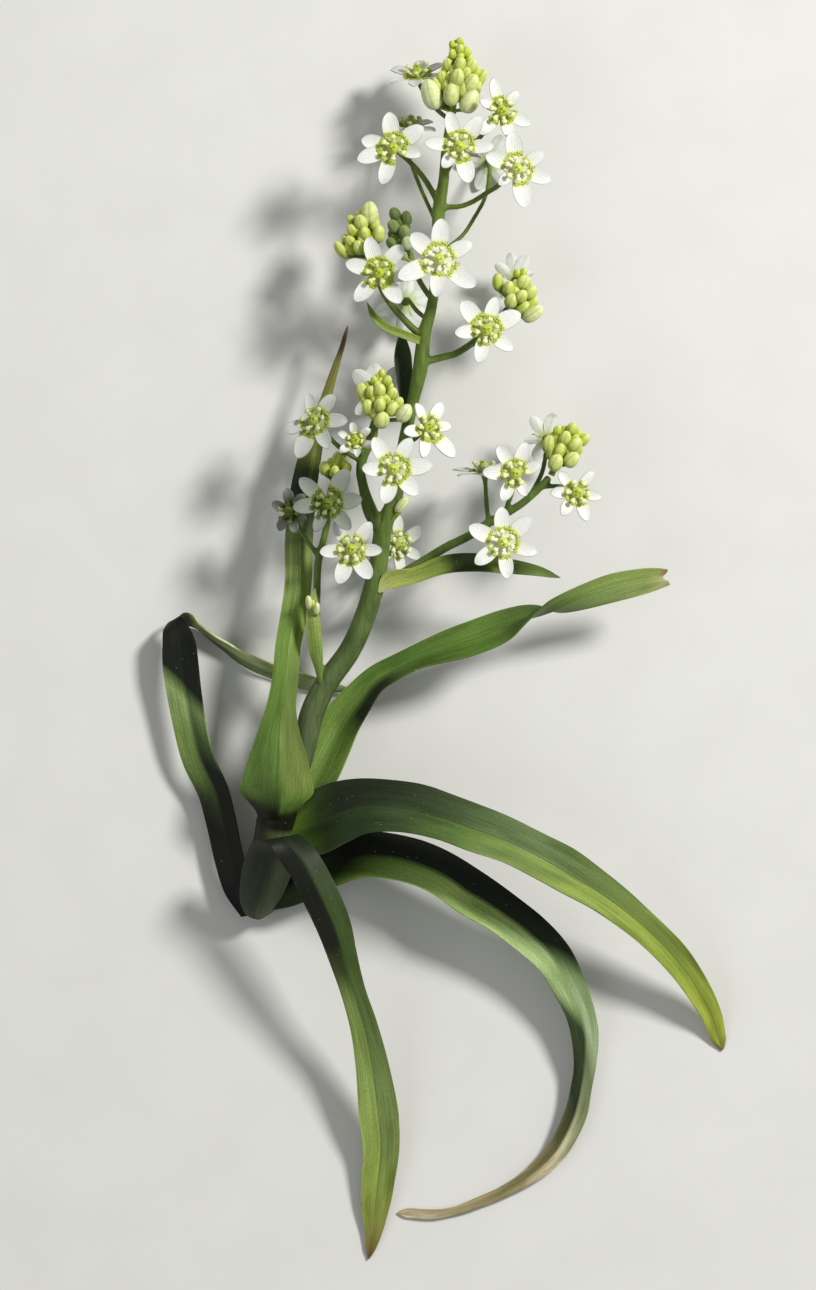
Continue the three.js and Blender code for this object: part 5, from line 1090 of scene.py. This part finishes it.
class HeartsOperator(bpy.types.Operator):
    """Builds the ovary, stamens and gland warts of every open flower"""
    bl_idname = "star_lily.hearts"
    bl_label = "Flower hearts"

    def execute(self, context):
        colours = context.scene.lily_colours
        blanks = {
            "ovaries": ovary_blank(), "filaments": filament_blank(), "anthers": anther_blank(),
            "gland_warts": start(bpy.ops.mesh.primitive_ico_sphere_add, subdivisions=1, radius=1.0)}
        organs = {kind: [] for kind in blanks}

        def add(kind, *place):
            organ = copy_of(blanks[kind], kind)
            mark_points(organ, ageing=bloom["age"], shade=bloom["shade"])
            turned(organ, *place)
            organs[kind].append(organ)

        for bloom in BLOOMS:
            centre, out, level, side = bloom_axes(bloom)
            turn = hole_turn(tepal_spokes(bloom))
            draw = random.Random(bloom["name"] + "_heart")
            add("ovaries", centre, out, level * math.cos(turn) + side * math.sin(turn), (1, 1, 1))
            for index in range(6):
                angle = turn + (index + 0.5) * math.pi / 3 + draw.uniform(-0.12, 0.12)
                spoke = level * math.cos(angle) + side * math.sin(angle)
                size = (1, bloom["reach"] / USUAL_REACH * draw.uniform(0.93, 1.1), draw.uniform(0.88, 1.06))
                add("filaments", centre, out, spoke, size)
                add("anthers", centre, out, spoke, size)
            for place in wart_places(bloom, context.scene.lily_sizes.tepal_breadth):
                size = WART_RADIUS * draw.uniform(0.75, 1.15)
                add("gland_warts", place + out * WART_LIFT, out, level, (size, size, size * WART_FLATNESS))
        tissues = {
            "ovaries": organ_material("fleshy_ovary", "#d3de7c", "#b3c53c", 0.4),
            "filaments": organ_material("pale_filament", "#f6f6e2", "#dfe6a8", 0.5),
            "anthers": organ_material("pollen_anther", "#f7f6da", tuple(colours.anther), 0.75),
            "gland_warts": organ_material("moist_gland", "#d0d768", tuple(colours.gland), 0.35)}
        for kind, tissue in tissues.items():
            drop(blanks[kind])
            piece = joined(kind, organs[kind])
            dress(piece, tissue)
            put(piece, "flower_stalk")
        return {"FINISHED"}


# Buds. Lengths are in millimetres.

BUD_LEAN = 0.8
BUD_STALK_DROP = 1.6
LOWEST_BUD_FOOT, HIGHEST_BUD_FOOT = 0.03, 0.9
GREEN_RADIUS, RIPE_RADIUS = 1.4, 3.2
BUD_BASE = 0.8
BUD_STALK_BEND = 0.2
BUD_STALK_RADII = (0.6, 0.55, 0.75)
FILLER_REACH = 1.9
FILLER_DROP = 1.1
FILLER_SIZE = 0.82
FILLER_ROOM = 0.62


def bud_blank():
    """Closed bud of one unit radius and half length: plump, blunt, with three seams."""
    blank = start(bpy.ops.mesh.primitive_uv_sphere_add, segments=18, ring_count=12, radius=1.0)

    def shaped(spots):
        height = spots[:, 2]
        angle = np.arctan2(spots[:, 1], spots[:, 0])
        profile = np.clip(1 - np.abs(height) ** 2.5, 0, 1) ** 0.52 * (1 - 0.08 * height)
        seam = np.abs(np.sin(1.5 * angle)) ** 0.6
        lobes = 1 - (0.06 + 0.17 * np.clip(height, 0, 1)) * (1 - seam)
        return np.stack([profile * lobes * np.cos(angle), profile * lobes * np.sin(angle), height], axis=1)

    reshape(blank, shaped)
    return blank


def crowded(buds):
    """The measured buds with smaller ones in the gaps behind them."""
    full = list(buds)
    for index, first in enumerate(buds):
        for second in buds[index + 1:]:
            place = (np.array(first[:5]) + np.array(second[:5])) / 2
            place[2] -= FILLER_DROP
            place[3:] *= FILLER_SIZE
            room = [math.dist(place[:3], bud[:3]) - FILLER_ROOM * (place[3] + bud[3]) for bud in full]
            if math.dist(first[:3], second[:3]) <= FILLER_REACH * (first[3] + second[3]) and min(room) >= 0:
                full.append(list(place))
    return full


class BudsOperator(bpy.types.Operator):
    """Builds the crowded bud heads"""
    bl_idname = "star_lily.buds"
    bl_label = "Bud heads"

    def execute(self, context):
        blank = bud_blank()
        # Painted shade: the bud head behind the stalk gets a darker copy of the bud skin.
        skins = {"bud": bud_material("closed_bud", "#7b942c", "#afbc38", "#dfe48e"),
                 "dark_bud": bud_material("shaded_bud", "#46562a", "#566a2a", "#8a984e")}
        bark = stalk_material("bud_stalk", "#6f8a34", "#7f9838", "#8aa03c")
        for name, rows in BUD_HEADS.items():
            slot = "dark_bud" if name == SHADED_HEAD else "bud"
            axis = [row for row in rows if len(row) == 4]
            foot = np.array(axis[0][:3])
            span = np.array(axis[-1][:3]) - foot
            buds, stalks = [], [tube("axis", axis, 2, 4)]
            draw = random.Random(name)
            for x, y, z, radius, half, *ripe in crowded([row for row in rows if len(row) > 4]):
                centre = np.array([x, y, z])
                level = (centre - foot).dot(span) / span.dot(span)
                wanted = level - (half + BUD_STALK_DROP) / np.linalg.norm(span)
                root = foot + span * min(max(wanted, LOWEST_BUD_FOOT), HIGHEST_BUD_FOOT)
                along = unit(unit(centre - root) * BUD_LEAN + unit(span))
                turn = draw.uniform(0, 2 * math.pi)
                helper = np.array([math.cos(turn), math.sin(turn), 0.3])
                bud = copy_of(blank, "bud")
                grown = min(1.0, max(0.0, (radius - GREEN_RADIUS) / (RIPE_RADIUS - GREEN_RADIUS))) ** 1.5
                mark_points(bud, ripeness=ripe[0] if ripe else grown)
                turned(bud, centre, along, unit(helper - along * helper.dot(along)), (radius, radius, half))
                buds.append(bud)
                base = centre - along * half * BUD_BASE
                middle = (root + base) / 2 + unit(span) * BUD_STALK_BEND
                bends = [[*place, thick] for place, thick in zip((root, middle, base), BUD_STALK_RADII)]
                stalks.append(tube("pedicel", bends, 1, 2))
            parts = [joined("skins", buds), joined("stems", stalks)]
            dress(parts[0], skins[slot])
            dress(parts[1], bark)
            put(joined("bud_head_" + name, parts), None if name == ADDED_HEAD else name)
        drop(blank)
        return {"FINISHED"}


# Stage: floor, lights and camera. Each light has its name, the way to it, its distance, size, power
# and colour.

FLOOR_SIZE = 30.0
LIGHTS = (("key", (0.6, 0.45, 0.75), 2.0, 0.4, 42.0, (1.0, 0.985, 0.95)),
          ("fill", (-0.7, -0.3, 0.9), 2.4, 1.6, 7.0, (0.96, 0.98, 1.0)))
SKY_POWER = 0.36
CAMERA_LENS = 500.0
CAMERA_SENSOR = 36.0
CAMERA_REACH = 100.0
CAMERA_PLACE = (-0.01184, 0.00192, 5.761)


def add_area_light(name, direction, distance, size, power, colour):
    light = bpy.data.lights.new(name, "AREA")
    light.shape = "DISK"
    light.size = size
    light.energy = power
    light.color = colour
    item = bpy.data.objects.new(name, light)
    bpy.context.scene.collection.objects.link(item)
    away = Vector(direction).normalized()
    item.location = away * distance
    item.rotation_euler = away.to_track_quat("Z", "Y").to_euler()


class StageOperator(bpy.types.Operator):
    """Builds the pale floor, the studio lights and the camera that looks down"""
    bl_idname = "star_lily.stage"
    bl_label = "Stage"

    def execute(self, context):
        floor = start(bpy.ops.mesh.primitive_plane_add, size=FLOOR_SIZE, location=(0, 0, 0))
        floor.name = "floor"
        dress(floor, floor_material(context.scene.lily_colours))
        for light in LIGHTS:
            add_area_light(*light)
        world = bpy.data.worlds.new("studio")
        world.use_nodes = True
        set_inputs(world.node_tree.nodes["Background"], {"Color": "#f6f6f6", "Strength": SKY_POWER})
        context.scene.world = world
        camera = bpy.data.cameras.new("camera")
        camera.lens = CAMERA_LENS
        camera.sensor_width = CAMERA_SENSOR
        camera.clip_end = CAMERA_REACH
        item = bpy.data.objects.new("camera", camera)
        context.scene.collection.objects.link(item)
        item.location = CAMERA_PLACE
        context.scene.camera = item
        context.scene.view_settings.view_transform = "Standard"
        return {"FINISHED"}


class LilyPanel(bpy.types.Panel):
    """Lists the steps that build the plant"""
    bl_idname = "VIEW3D_PT_star_lily"
    bl_label = "Star lily"
    bl_space_type = "VIEW_3D"
    bl_region_type = "UI"
    bl_category = "Star lily"

    def draw(self, context):
        for operator in OPERATORS:
            self.layout.operator(operator.bl_idname)
        for name in LilySizes.__annotations__:
            self.layout.prop(context.scene.lily_sizes, name)
        for name in LilyColours.__annotations__:
            self.layout.prop(context.scene.lily_colours, name)


OPERATORS = (StageOperator, NeckOperator, LeavesOperator, BractsOperator, StalkOperator,
             PerianthsOperator, HeartsOperator, BudsOperator)
CLASSES = (LilySizes, LilyColours, *OPERATORS, LilyPanel)


def register():
    for item in CLASSES:
        bpy.utils.register_class(item)
    bpy.types.Scene.lily_sizes = bpy.props.PointerProperty(type=LilySizes)
    bpy.types.Scene.lily_colours = bpy.props.PointerProperty(type=LilyColours)


def unregister():
    del bpy.types.Scene.lily_colours
    del bpy.types.Scene.lily_sizes
    for item in reversed(CLASSES):
        bpy.utils.unregister_class(item)


def main():
    register()
    bpy.ops.star_lily.stage()
    bpy.ops.star_lily.neck()
    bpy.ops.star_lily.leaves()
    bpy.ops.star_lily.bracts()
    bpy.ops.star_lily.stalk()
    bpy.ops.star_lily.perianths()
    bpy.ops.star_lily.hearts()
    bpy.ops.star_lily.buds()


if __name__ == "__main__":
    main()
